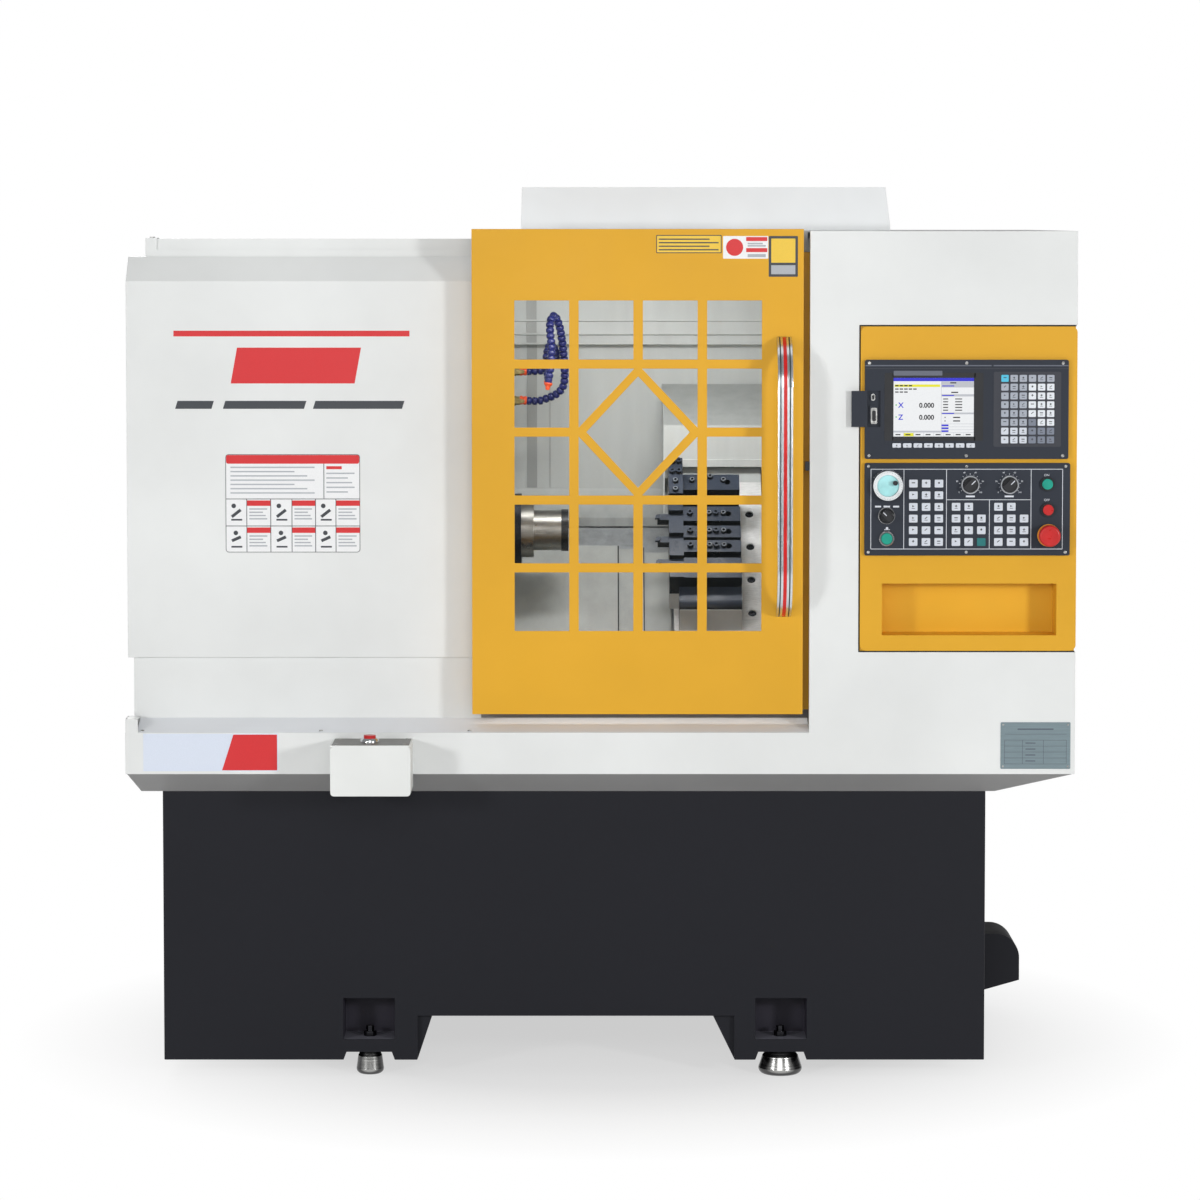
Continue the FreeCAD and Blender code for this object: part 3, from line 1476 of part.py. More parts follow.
PARTS = (base_cabinet, levelling_feet, side_cowl, drip_tray, front_cover, door_sill,
         headstock_cover, side_door, right_side_panel, rear_panel, roof_panel, roof_hood,
         door_surround, door_top_rail, sliding_door, door_pane, door_handle, door_carriages,
         operator_box, display_unit, control_panel, estop_button, handwheel, port_flap,
         palm_button_box, palm_button, bed_casting, headstock, spindle_shaft,
         spindle_nose, spindle_pulley, motor_pulley, clamping_cylinder, drive_belt,
         drive_motors, z_ball_screw, saddle, x_ball_screw, x_axis_motor,
         x_axis_cover, way_cover_fixed, way_cover_middle, way_cover_moving, cross_slide,
         tool_blocks, cutting_tools, inner_back_wall, spindle_wall,
         coolant_hoses, coolant_fittings, coolant_unit, electrical_cabinet, cabinet_door,
         drive_rack)

for make in PARTS:
    pieces[make.__name__] = make()
pieces["power_on_button"] = push_button(POWER_ON)
pieces["power_off_button"] = push_button(POWER_OFF)
pieces["cycle_start_button"] = push_button(CYCLE_START)
pieces["mode_selector"] = rotary_knob(MODE_SWITCH, knob_height, mode_heading)
pieces["feed_knob"] = rotary_knob(FEED_SWITCH, knob_height, rate_heading)
pieces["speed_knob"] = rotary_knob(SPEED_SWITCH, knob_height, rate_heading)

os.makedirs("parts", exist_ok=True)
for name, shape in pieces.items():
    shape.translate(V(0, -middle_y, 0))
    shape.exportStep("parts/" + name + ".step")
    print(name, len(shape.Solids), shape.isValid(), round(shape.Volume / 1000.0, 1))
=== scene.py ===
"""Finishes, small fittings, floor and light of a slant bed turning lathe.

Places are written as the machine is measured: X to the right and Z up in millimetres, with the
depth behind the front sheet in between. The function at() turns them into metres.
"""

import json
import math

import bmesh
import bpy
from mathutils import Matrix, Vector

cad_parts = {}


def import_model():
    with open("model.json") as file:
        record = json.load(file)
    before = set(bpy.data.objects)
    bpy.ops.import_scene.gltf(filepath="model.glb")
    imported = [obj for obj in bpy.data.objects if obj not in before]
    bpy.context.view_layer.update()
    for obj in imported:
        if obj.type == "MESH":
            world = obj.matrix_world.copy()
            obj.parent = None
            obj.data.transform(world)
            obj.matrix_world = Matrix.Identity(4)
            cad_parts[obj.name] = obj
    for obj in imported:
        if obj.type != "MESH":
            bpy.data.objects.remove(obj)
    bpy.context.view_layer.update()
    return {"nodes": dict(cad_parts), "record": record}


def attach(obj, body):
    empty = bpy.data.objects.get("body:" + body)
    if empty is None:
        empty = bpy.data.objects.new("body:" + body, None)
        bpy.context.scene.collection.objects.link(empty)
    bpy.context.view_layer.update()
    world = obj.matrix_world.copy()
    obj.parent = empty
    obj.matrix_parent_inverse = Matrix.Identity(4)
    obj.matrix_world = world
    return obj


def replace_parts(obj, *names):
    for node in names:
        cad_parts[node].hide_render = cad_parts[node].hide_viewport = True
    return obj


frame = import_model()

MM = 0.001
MIDDLE_DEPTH = 568.5       # from the front sheet to the middle of the machine
FRONT = 0                  # depth of the front sheet
PRINT = 0.3                # thickness of a printed plate or foil
OUT = (0, -1, 0)           # towards whoever stands at the machine
UP = (0, 0, 1)
RIGHT = (1, 0, 0)


def at(x, depth, height):
    return Vector((x * MM, (depth - MIDDLE_DEPTH) * MM, height * MM))


def link(item):
    bpy.context.scene.collection.objects.link(item)
    return item


# ---- camera

IMAGE_SIDE = 1200          # pixels of the square picture
FOCAL_PIXELS = 4159.3      # focal length in pixels of that picture
SENSOR = 36                # millimetres across the camera's sensor
CAMERA_PLACE = (0, -8292, 1740.4)
CAMERA_PITCH = 3.416       # degrees that the camera looks down
CAMERA_SHIFT = -0.11


def make_camera():
    data = bpy.data.cameras.new("camera")
    data.sensor_width = data.sensor_height = SENSOR
    data.lens = FOCAL_PIXELS / IMAGE_SIDE * SENSOR
    data.shift_y = CAMERA_SHIFT
    data.clip_end = 100
    camera = link(bpy.data.objects.new("camera", data))
    camera.location = at(*CAMERA_PLACE)
    camera.rotation_euler = (math.radians(90 - CAMERA_PITCH), 0, 0)
    bpy.context.scene.camera = camera


make_camera()


# ---- material tools

def linear(colour):
    """Turn 0 to 255 screen values into the linear colour that a shader takes."""
    parts = [value / 255 for value in colour]
    return (*(part / 12.92 if part <= 0.04045 else ((part + 0.055) / 1.055) ** 2.4
              for part in parts), 1.0)


def shade(colour, factor):
    return tuple(min(255, value * factor) for value in colour)


def add_node(tree, kind, *values, **named):
    """New shader node. Values fill its inputs in their order and capital names fill the input
    of that name, as a link or a number; the other names are the node's own settings."""
    node = tree.nodes.new("ShaderNode" + kind)
    inputs = dict(enumerate(values))
    for key, value in named.items():
        if key[0].isupper():
            inputs[key.replace("_", " ")] = value
        else:
            setattr(node, key, value)
    for key, value in inputs.items():
        fill(tree, node.inputs[key], value)
    return node


def fill(tree, socket, value):
    if isinstance(value, bpy.types.NodeSocket):
        tree.links.new(value, socket)
    else:
        socket.default_value = value


class Finish:
    """A material with one principled shader, and short ways to drive its sockets."""

    def __init__(self, name, roughness, metallic=0, **sockets):
        self.material = bpy.data.materials.new(name)
        self.material.use_nodes = True
        self.tree = self.material.node_tree
        self.roughness = roughness
        self.set(Roughness=roughness, Metallic=metallic, **sockets)
        self.place = self.node("TexCoord", "Object")

    def set(self, **sockets):
        for key, value in sockets.items():
            shader = self.tree.nodes["Principled BSDF"]
            fill(self.tree, shader.inputs[key.replace("_", " ")], value)

    def node(self, kind, output, *values, **named):
        return add_node(self.tree, kind, *values, **named).outputs[output]

    def noise(self, scale, detail=3, rough=0.55, stretch=None):
        vector = self.place
        if stretch:
            vector = self.node("Mapping", "Vector", vector, Scale=stretch)
        return self.node("TexNoise", "Fac", vector, Scale=scale, Detail=detail, Roughness=rough)

    def cells(self, scale):
        return self.node("TexVoronoi", "Distance", self.place, Scale=scale)

    def height(self, low, high):
        """0 below the low height and 1 above the high one, in metres over the floor."""
        return self.range(self.node("SeparateXYZ", "Z", self.place), 0, 1, low, high)

    def inside(self, *boxes):
        """1 within any of the boxes, each given by its middle and half size in metres."""
        total = None
        for middle, half in boxes:
            vector = self.place
            for operation, *value in (("SUBTRACT", middle), ("ABSOLUTE",), ("DIVIDE", half)):
                vector = self.node("VectorMath", "Vector", vector, *value, operation=operation)
            split = add_node(self.tree, "SeparateXYZ", vector).outputs
            reach = self.math("MAXIMUM", self.math("MAXIMUM", split["X"], split["Y"]), split["Z"])
            within = self.math("LESS_THAN", reach, 1)
            total = within if total is None else self.math("MAXIMUM", total, within)
        return total

    def math(self, operation, first, second):
        return self.node("Math", "Value", first, second, operation=operation)

    def facing(self, direction):
        """1 on faces square to a direction and 0 on those that turn away from it."""
        normal = self.node("NewGeometry", "Normal")
        product = self.node("VectorMath", "Value", normal, direction, operation="DOT_PRODUCT")
        return self.range(product, 0, 1, 0.75, 0.95)

    def ramp(self, value, *stops):
        node = add_node(self.tree, "ValToRGB", value)
        elements = node.color_ramp.elements
        while len(elements) < len(stops):
            elements.new(0.5)
        for element, (position, colour) in zip(elements, stops):
            element.position = position
            element.color = linear(colour)
        return node.outputs["Color"]

    def tones(self, value, colour, *factors, marks=(0.3, 0.7)):
        """Shades of one colour, each a factor, at the marks of a value."""
        return self.ramp(value, *[(mark, shade(colour, factor))
                                  for mark, factor in zip(marks, factors)])

    def range(self, value, low, high, from_low=0.3, from_high=0.7):
        return self.node("MapRange", "Result", value, from_low, from_high, low, high)

    def blend(self, factor, first, second):
        return self.node("Mix", "Result", data_type="RGBA", Factor=factor, A=first, B=second)

    def wear(self, colour, gloss, below, above, relief, depth, strength):
        """Drive colour, roughness (from below to above its mean) and bump; give the material."""
        bump = self.node("Bump", "Normal", Height=relief, Distance=depth, Strength=strength)
        gloss = self.range(gloss, self.roughness - below, self.roughness + above)
        self.set(Base_Color=colour, Roughness=gloss, Normal=bump)
        return self.material


# ---- finishes

def powder_coat(name, colour, roughness=0.42, grain=420, specular=0.24, boxes=(), inner=()):
    """Baked paint: a fine orange peel, with slow changes of tone and gloss.

    Inside the boxes it takes the inner colours, paler than the paint as painted light against the
    recesses' shade, and the second of them, palest, on their upward floors as painted light.
    """
    finish = Finish(name, roughness, Specular_IOR_Level=specular)
    slow = finish.noise(2.3, 4)
    tone, *deep = [finish.tones(slow, part, 0.965, 1.015) for part in (colour, *inner)]
    # painted light: paler inner colours inside the boxes, palest on their upward floors
    if boxes:
        deep = finish.blend(finish.facing(UP), *deep)
        tone = finish.blend(finish.inside(*boxes), tone, deep)
    return finish.wear(tone, finish.noise(9, 5), 0.06, 0.07, finish.noise(grain, 2), 0.00012, 0.55)


def wiped_paint(name, colour, low, high=1, roughness=0.38, gloss=0.14, above=None, **sockets):
    """Inner sheet paint that coolant and chips have dulled in faint upright runs.

    Above gives two heights, between which the tones change, and the tones beyond them: painted
    shade that changes with height.
    """
    finish = Finish(name, roughness, **sockets)
    runs = finish.noise(5, 5, 0.6, (6, 6, 0.6))
    tone = finish.tones(runs, colour, low, high, marks=(0.32, 0.62))
    if above:
        upper = finish.tones(runs, colour, *above[2:], marks=(0.32, 0.62))
        tone = finish.blend(finish.height(*above[:2]), tone, upper)
    return finish.wear(tone, finish.noise(14, 5), 0.1, gloss, finish.noise(300, 2), 0.0001, 0.4)


def slant_lit_block(name, colour, ground):
    """Blackened steel painted a lighter blue grey on its faces along the slant: painted light on
    the faces that the lamps reach, with the other faces left dark as their shade.
    """
    finish = Finish(name, 0.42, Specular_IOR_Level=0.3)
    patches = finish.noise(30, 4)
    tone = finish.blend(finish.facing((0, -0.7071, 0.7071)), finish.tones(patches, colour, 0.8, 1),
                        finish.tones(patches, ground, 0.85, 1))
    return finish.wear(tone, patches, 0.16, 0.04, finish.noise(260), 0.00004, 0.4)


def turned_feet(name):
    """Turned steel, painted bright on faces towards the front and darker on those turned away
    (painted reflection), and painted near black inside the base's pockets (painted shade).
    """
    finish = Finish(name, 0.2, 1)
    rings = finish.noise(40, 2, 0.5, (0.05, 0.05, 8))
    dark, bright, pocket_shade = [finish.ramp(rings, (0.3, low), (0.7, high)) for low, high in (
        ((74, 74, 75), (104, 104, 104)), ((168, 168, 166), (192, 192, 190)),
        ((34, 34, 37), (58, 58, 62)))]
    # painted reflection: faces towards the front are lighter
    tone = finish.blend(finish.facing((0, -1, 0.25)), dark, bright)
    # painted shade: near black above 5.6 cm, inside the pockets
    tone = finish.blend(finish.height(0.05, 0.056), tone, pocket_shade)
    return finish.wear(tone, rings, 0.06, 0.1, rings, 0.00004, 0.4)


def brushed(name, colour, roughness, along="x", metallic=1):
    """Sheet with a straight brushed grain."""
    finish = Finish(name, roughness, metallic)
    grain = finish.noise(26, 4, 0.7, [1 if axis == along else 60 for axis in "xyz"])
    tone = finish.tones(grain, colour, 0.9, 1.06, marks=(0.25, 0.75))
    return finish.wear(tone, grain, 0.08, 0.1, grain, 0.00005, 0.5)


def ground_steel(name, colour, roughness=0.26, metallic=1):
    """Machined steel: fine tool marks and a thin film of oil in patches."""
    finish = Finish(name, roughness, metallic)
    marks = finish.noise(60, 5, 0.7, (1, 22, 22))
    film = finish.noise(16, 4)
    tone = finish.blend(finish.range(film, 0, 0.6, 0.45, 0.7),
                        finish.tones(marks, colour, 0.86, 1.05),
                        finish.tones(marks, colour, 0.62, 0.8))
    return finish.wear(tone, film, 0.08, 0.16, marks, 0.00006, 0.5)


def oxide_black(name, colour):
    """Oiled black oxide with a blue cast and rubbed patches."""
    finish = Finish(name, 0.36, 0.55)
    tone = finish.tones(finish.noise(38, 6, 0.65), colour, 0.72, 1, 1.7, marks=(0.35, 0.6, 0.78))
    return finish.wear(tone, finish.noise(70, 4), 0.12, 0.16, finish.noise(900, 2), 0.00006, 0.45)


def cast_paint(name, colour):
    """Enamel over a sand casting."""
    finish = Finish(name, 0.44)
    lumps = finish.noise(60, 6, 0.6)
    return finish.wear(finish.tones(lumps, colour, 0.9, 1.04), lumps, 0.08, 0.1,
                       finish.noise(130, 5, 0.6), 0.0006, 0.5)


def moulded(name, colour, roughness=0.34, grain=700):
    """Moulded plastic with a spark eroded grain."""
    finish = Finish(name, roughness, Specular_IOR_Level=0.35)
    return finish.wear(finish.tones(finish.noise(30), colour, 0.93, 1.05), finish.noise(90),
                       0.06, 0.08, finish.cells(grain), 0.00004, 0.5)


def polished(name, colour):
    """Plated metal with a few dull spots from hands."""
    finish = Finish(name, 0.08, 1)
    spots = finish.noise(22, 5)
    return finish.wear(finish.tones(spots, colour, 0.94, 1, marks=(0.3, 0.6)), spots,
                       0.03, 0.1, finish.noise(140), 0.00003, 0.3)


def plated(name, colour, roughness):
    """Zinc plated or dull metal with small spangles."""
    finish = Finish(name, roughness, 1)
    tone = finish.tones(finish.cells(160), colour, 1.08, 0.85, marks=(0.1, 0.7))
    return finish.wear(tone, finish.noise(45, 4), 0.08, 0.14, finish.noise(380), 0.00005, 0.5)


def ink(name, colour, roughness=0.4):
    """Printed foil: flat ink with a slight screen grain."""
    finish = Finish(name, roughness)
    grain = finish.noise(1500, 1)
    return finish.wear(finish.tones(grain, colour, 0.97, 1.02), finish.noise(60), 0.05, 0.06,
                       grain, 0.00001, 0.3)


def lit(name, colour, strength=0.9):
    """A field of a screen, which gives its own light."""
    finish = Finish(name, 0.25)
    dots = finish.cells(1400)
    finish.set(Base_Color=finish.tones(dots, colour, 0.25, 0.22, marks=(0.2, 0.8)),
               Emission_Color=finish.tones(dots, colour, 1, 0.95, marks=(0.2, 0.8)),
               Emission_Strength=strength)
    return finish.material


def clear_sheet(name):
    """Clear polycarbonate with faint wipe marks that only change its gloss."""
    finish = Finish(name, 0.05, IOR=1.49, Alpha=0.02, Specular_IOR_Level=0.2)
    wipes = finish.noise(11, 6, 0.65, (1, 1, 0.35))
    tone = finish.ramp(wipes, (0.3, (96, 104, 104)), (0.7, (112, 120, 120)))
    return finish.wear(tone, wipes, 0.02, 0.07, finish.noise(6, 1), 0.0002, 0.2)


YELLOW = (224, 168, 44)
CHARCOAL = (28, 29, 35)

finishes = {name: make(name, *values) for make, name, *values in (
    (powder_coat, "base_paint", CHARCOAL, 0.5, 500, 0.18),
    (powder_coat, "white_paint", (229, 231, 230), 0.4),
    (powder_coat, "yellow_paint", YELLOW, 0.4),
    (powder_coat, "grey_paint", (118, 118, 118), 0.46),
    (powder_coat, "slate_panel", (44, 49, 59), 0.42, 800),
    (brushed, "stainless", (196, 194, 186), 0.34),
    (wiped_paint, "inner_sheet", (200, 204, 203), 0.96),
    (ground_steel, "machined_steel", (196, 199, 202)),
    (oxide_black, "black_oxide", (40, 47, 60)),
    (cast_paint, "cast_bed", (150, 153, 155)),
    (clear_sheet, "clear_pane"),
    (polished, "chrome", (222, 224, 226)),
    (moulded, "motor_paint", (54, 55, 60), 0.42, 900),
    (moulded, "rubber_black", (30, 30, 31), 0.6, 1200),
    (plated, "brass", (150, 136, 92), 0.34),
    (moulded, "hose_blue", (31, 35, 90), 0.3, 1500),
    (moulded, "red_plastic", (196, 38, 38), 0.32),
    (moulded, "green_plastic", (24, 152, 132), 0.32),
    (moulded, "black_plastic", (38, 39, 42), 0.42),
    (plated, "foot_steel", (188, 188, 186), 0.28))}


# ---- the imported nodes

# Middles and half sizes of the base's two front foot pockets and of the operator box's recess.
FOOT_POCKETS = [((x, -0.445, 0.119), (0.053, 0.0415, 0.0425)) for x in (-0.4695, 0.368)]
TOOL_RECESS = [((0.7385, -0.532, 0.962), (0.176, 0.037, 0.0535))]
# paler yellow painted in the operator box's recess: painted light against the recess's shade
RECESS_LIT_YELLOW = (232, 178, 46)
LINING_SHADE_STEP = (1.08, 1.15, 0.97, 1)      # the lining is painted darker below: painted shade where less light reaches the lower work area

own_finishes = {
    "inner_back_wall": wiped_paint("lining", (202, 205, 203), 0.76, 0.84, 0.42, above=LINING_SHADE_STEP,
                                   Specular_IOR_Level=0.3),
    "spindle_wall": wiped_paint("lining_left", (216, 219, 216), 0.76, 0.84, 0.42, above=LINING_SHADE_STEP,
                                Specular_IOR_Level=0.3),
    # the table is painted near white: painted light where it lies in the shade of the hood and the
    # door
    "cross_slide": ground_steel("table_steel", (244, 245, 244), 0.5, 0.05),
    # the blocks and the tools are painted lighter on their faces along the slant: painted light
    "tool_blocks": slant_lit_block("block_steel", (15, 18, 24), (54, 62, 77)),
    "cutting_tools": slant_lit_block("shank_steel", (22, 25, 31), (64, 71, 84)),
    "spindle_shaft": oxide_black("shaft_black", (26, 30, 40)),
    "spindle_nose": ground_steel("nose_steel", (158, 156, 150), 0.3),
    "roof_hood": powder_coat("hood_paint", (242, 244, 245), 0.4),
    # the hood's top face, above 1.3 m, is painted darker: painted shade where it turns away from
    # the front light
    "x_axis_cover": wiped_paint("hood_sheet", (204, 207, 205), 0.97, 1, 0.4, 0.1,
                                above=(1.298, 1.302, 0.84, 0.88), Specular_IOR_Level=0.3),
    # the drip tray's grey is painted shade on its downward face
    "drip_tray": powder_coat("tray_shade_grey", (158, 158, 158), 0.5),
    # the sill is painted a paler, bluer white: painted light against the door's shade and the
    # door's yellow light on it
    "door_sill": powder_coat("sill_sheet", (236, 239, 243), 0.6, specular=0.04),
    "door_handle": brushed("handle_chrome", (214, 218, 222), 0.2, "z", 0.9),
    "levelling_feet": turned_feet("feet"),
    "palm_button_box": powder_coat("palm_white", (230, 232, 230), 0.4),
    # the foot pockets are painted paler inside and palest on their floors: painted light against
    # their shade
    "base_cabinet": powder_coat("base_steel", CHARCOAL, 0.5, 500, 0.18, FOOT_POCKETS,
                                ((54, 52, 62), (112, 112, 122))),
    "operator_box": powder_coat("box_paint", YELLOW, 0.4, boxes=TOOL_RECESS,
                                inner=(RECESS_LIT_YELLOW, RECESS_LIT_YELLOW)),
}
# the way covers are painted a darker grey: painted shade for the dimmer light low in the work area
for cover in ("way_cover_fixed", "way_cover_middle", "way_cover_moving"):
    own_finishes[cover] = wiped_paint(cover, (164, 167, 164), 0.95)

for part in frame["record"]["subparts"]:
    dressed = frame["nodes"][part["node"]].data
    dressed.materials.clear()
    dressed.materials.append(own_finishes.get(part["node"], finishes[part["material_slot"]]))


def smooth_edges(node, width):
    """Round the sharp edges of a node's own mesh by a modifier."""
    item = frame["nodes"][node]
    item.modifiers.new("weld", "WELD").merge_threshold = 0.00001
    bevel = item.modifiers.new("bevel", "BEVEL")
    bevel.width = width
    bevel.segments = 2
    bevel.limit_method = "ANGLE"
    bevel.angle_limit = math.radians(32)


ROUNDED = {
    0.002: ("saddle",), 0.0015: ("base_cabinet",),
    0.0012: ("front_cover", "headstock_cover", "roof_hood", "cross_slide", "door_handle"),
    0.001: ("x_axis_cover",), 0.0009: ("sliding_door",), 0.0008: ("operator_box", "tool_blocks"),
    0.0006: ("door_sill", "palm_button_box"), 0.0004: ("display_unit", "control_panel")}

for width, nodes in ROUNDED.items():
    for node in nodes:
        smooth_edges(node, width)


# ---- mesh tools

def mesh_of(name, form, smooth_under=0):
    """Turn a bmesh into a mesh; faces that meet under the angle are shaded smooth."""
    bmesh.ops.recalc_face_normals(form, faces=form.faces)
    mesh = bpy.data.meshes.new(name)
    if smooth_under:
        for face in form.faces:
            face.smooth = True
        for edge in form.edges:
            if len(edge.link_faces) == 2 and edge.calc_face_angle() > math.radians(smooth_under):
                edge.smooth = False
    form.to_mesh(mesh)
    form.free()
    return mesh


def piece(name, form, body, slot, finish=None, smooth_under=0):
    """Link a form or mesh as one piece that rides on a body and takes a slot's finish."""
    mesh = mesh_of(name, form, smooth_under) if isinstance(form, bmesh.types.BMesh) else form
    mesh.materials.clear()
    mesh.materials.append(finish or finishes[slot])
    item = link(bpy.data.objects.new(name, mesh))
    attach(item, body)
    return item


def around(x, z, radius, degrees):
    turn = math.radians(degrees)
    return x + radius * math.cos(turn), z + radius * math.sin(turn)


def bar(x0, x1, z0, z1, radius=0, steps=3):
    """Outline of a rectangle, rounded or not, anticlockwise from its lower right corner."""
    corners = [(x1 - radius, z0 + radius), (x1 - radius, z1 - radius),
               (x0 + radius, z1 - radius), (x0 + radius, z0 + radius)]
    if not radius:
        return corners
    return [around(x, z, radius, 90 * (quarter - 1 + k / steps))
            for quarter, (x, z) in enumerate(corners) for k in range(steps + 1)]


def line(x0, z0, x1, z1, width):
    """Outline of a straight printed line between two points."""
    length = math.hypot(x1 - x0, z1 - z0)
    side_x = -(z1 - z0) / length * width / 2
    side_z = (x1 - x0) / length * width / 2
    return [(x0 - side_x, z0 - side_z), (x1 - side_x, z1 - side_z),
            (x1 + side_x, z1 + side_z), (x0 + side_x, z0 + side_z)]


def spoke(x, z, near, far, degrees, width):
    """Outline of a line that points away from (x, z), between two distances from it."""
    return line(*around(x, z, near, degrees), *around(x, z, far, degrees), width)


def disc(x, z, radius, steps=32):
    return [around(x, z, radius, 360 * k / steps) for k in range(steps)]


def add_prism(form, outline, low, high, place):
    """Solid with one outline between two levels; place(u, v, level) is a corner's place."""
    ends = [[form.verts.new(place(u, v, level)) for u, v in outline] for level in (low, high)]
    form.faces.new(ends[0])
    form.faces.new(ends[1][::-1])
    add_sides(form, *ends)


def add_sides(form, one, two):
    """Faces between two rows of corners that go round."""
    for k in range(len(one)):
        after = (k + 1) % len(one)
        form.faces.new((one[k], two[k], two[after], one[after]))


def upright(x, z, depth):
    return at(x, depth, z)


def boxes(name, rows, body, slot, finish=None, place=at):
    """Several boxes as one piece, each from three pairs of the values that place() takes."""
    form = bmesh.new()
    for xs, ys, (low, high) in rows:
        add_prism(form, bar(*xs, *ys), low, high, place)
    return piece(name, form, body, slot, finish)


def add_turned(form, centre, axis, profile, steps=24):
    """Body of revolution about an axis from (radius, height) pairs in millimetres.

    A profile that ends where it starts is a closed section and makes a ring.
    """
    axis = Vector(axis).normalized()
    side = axis.cross(Vector(UP))
    if side.length < 0.1:
        side = axis.cross(Vector(RIGHT))
    side.normalize()
    up = axis.cross(side)
    arms = [side * cos + up * sin for cos, sin in disc(0, 0, 1, steps)]
    closed = profile[0] == profile[-1]
    rings = []
    for radius, height in profile[:-1] if closed else profile:
        middle = centre + axis * height * MM
        rings.append([form.verts.new(middle + arm * radius * MM)
                      for arm in (arms if radius else arms[:1])])
    for low, high in zip(rings, rings[1:] + rings[:1] if closed else rings[1:]):
        for k in range(steps):
            after = (k + 1) % steps
            corners = [low[k % len(low)], low[after % len(low)],
                       high[after % len(high)], high[k % len(high)]]
            form.faces.new(list(dict.fromkeys(corners)))
    for ring in () if closed else (rings[0], rings[-1]):
        if len(ring) > 2:
            form.faces.new(ring)


def turned(name, place, axis, profile, body, slot, finish=None):
    form = bmesh.new()
    add_turned(form, place, axis, profile, 48)
    return piece(name, form, body, slot, finish, 35)


def in_parts(radius, height, *pairs):
    return [(radius * part, height * level) for part, level in pairs]


def socket_head(radius, height):
    """Cap screw with a hexagon socket."""
    edge = radius * 0.14
    return [(radius, 0), (radius, height - edge), (radius - edge, height),
            *in_parts(radius, height, (0.55, 1), (0.5, 0.4), (0, 0.35))]


def pan_head(radius, height):
    """Low domed screw with a cross recess."""
    return in_parts(radius, height, (1, 0), (1, 0.35), (0.86, 0.8), (0.5, 1), (0.3, 1),
                    (0.22, 0.45), (0, 0.4))


def rim(radius, height):
    """Bright ring round a socket."""
    return in_parts(radius, height, (0.62, 0), (0.62, 1), (1, 1), (1, 0), (0.62, 0))


def screws(name, places, axis, radius, height, body="frame", slot="foot_steel", finish=None,
           head=pan_head):
    """Heads of one kind that stand on their places along the axis, as one piece."""
    form = bmesh.new()
    for place in places:
        add_turned(form, place, axis, head(radius, height), 16 if head is pan_head else 18)
    return piece(name, form, body, slot, finish, 40)


# ---- print

# Each ink with the slot of the pieces printed in it.
inks = {name: (slot, ink(name, colour, roughness)) for name, slot, colour, roughness in (
    ("print_red", "red_plastic", (214, 40, 44), 0.4),
    ("print_dark", "black_plastic", (58, 62, 68), 0.4),
    ("print_white", "white_paint", (238, 239, 240), 0.4),
    ("print_pale_blue", "white_paint", (218, 226, 240), 0.4),
    ("print_grey", "grey_paint", (172, 176, 182), 0.4),
    ("print_yellow", "yellow_paint", (236, 196, 60), 0.4),
    ("print_rule", "grey_paint", (86, 96, 108), 0.4),
    ("key_light", "grey_paint", (208, 213, 222), 0.36),
    ("key_white", "grey_paint", (226, 230, 236), 0.36),
    ("key_mid", "grey_paint", (166, 172, 184), 0.36),
    ("key_dark", "grey_paint", (120, 127, 142), 0.36),
    ("key_cyan", "grey_paint", (78, 190, 222), 0.36),
    ("key_teal", "green_plastic", (14, 112, 112), 0.36),
    ("line_white", "grey_paint", (214, 218, 226), 0.4),
    ("panel_dark", "slate_panel", (44, 47, 57), 0.45),
    ("panel_light", "slate_panel", (96, 101, 114), 0.42))}
for name, colour, strength in (
        ("screen_white", (246, 248, 250), 0.9), ("screen_grey", (196, 199, 206), 0.9),
        ("screen_blue", (34, 36, 214), 0.9), ("screen_yellow", (240, 236, 40), 0.9),
        ("screen_ink", (30, 31, 40), 0.3), ("screen_green", (40, 190, 80), 0.9)):
    inks[name] = ("black_plastic", lit(name, colour, strength))


def plates(name, tone, outlines, front=FRONT, thickness=PRINT, body="frame", slot=None):
    """Flat plates in one ink or slot's finish, fixed on a surface at one depth, as one piece."""
    own_slot, finish = inks.get(tone, (tone, None))
    form = bmesh.new()
    for outline in outlines:
        add_prism(form, outline, front - thickness, front, upright)
    return piece(name, form, body, slot or own_slot, finish)


COVER_FRONT = 60           # depth of the headstock cover's front face
DARK_FIELDS = ((-854, -776), (-758, -590), (-577, -393))


def cover_stripes():
    """A thin and a broad red stripe and a row of dark fields across the headstock cover."""
    plates("stripe_red", "print_red",
           [bar(-856.5, -382.5, 1506.5, 1518),
            [(-742, 1412), (-493, 1412), (-480, 1484), (-729, 1484)]], COVER_FRONT)
    plates("stripe_dark", "print_dark",
           [[(left, 1361), (right - 5, 1361), (right, 1377), (left + 5, 1377)]
            for left, right in DARK_FIELDS], COVER_FRONT)


CHART = (-753.5, -482.8, 1071.6, 1269.5)
CHART_SPLIT = 198              # from the chart's left side to the upper field's divider
CHART_ROWS = (90, 144.5)       # from the chart's top to the two lower rows of fields
CHART_COLUMNS = (42.6, 90.8, 133.5, 181, 222)
CHART_RULE = 1.4


def chart_text(left, right, top, rows, pitch):
    """Ragged grey bars in place of a block of small print."""
    return [bar(left, right - (right - left) * (0.08, 0.3, 0.16)[k % 3],
                top - pitch * k - 2.6, top - pitch * k) for k in range(rows)]


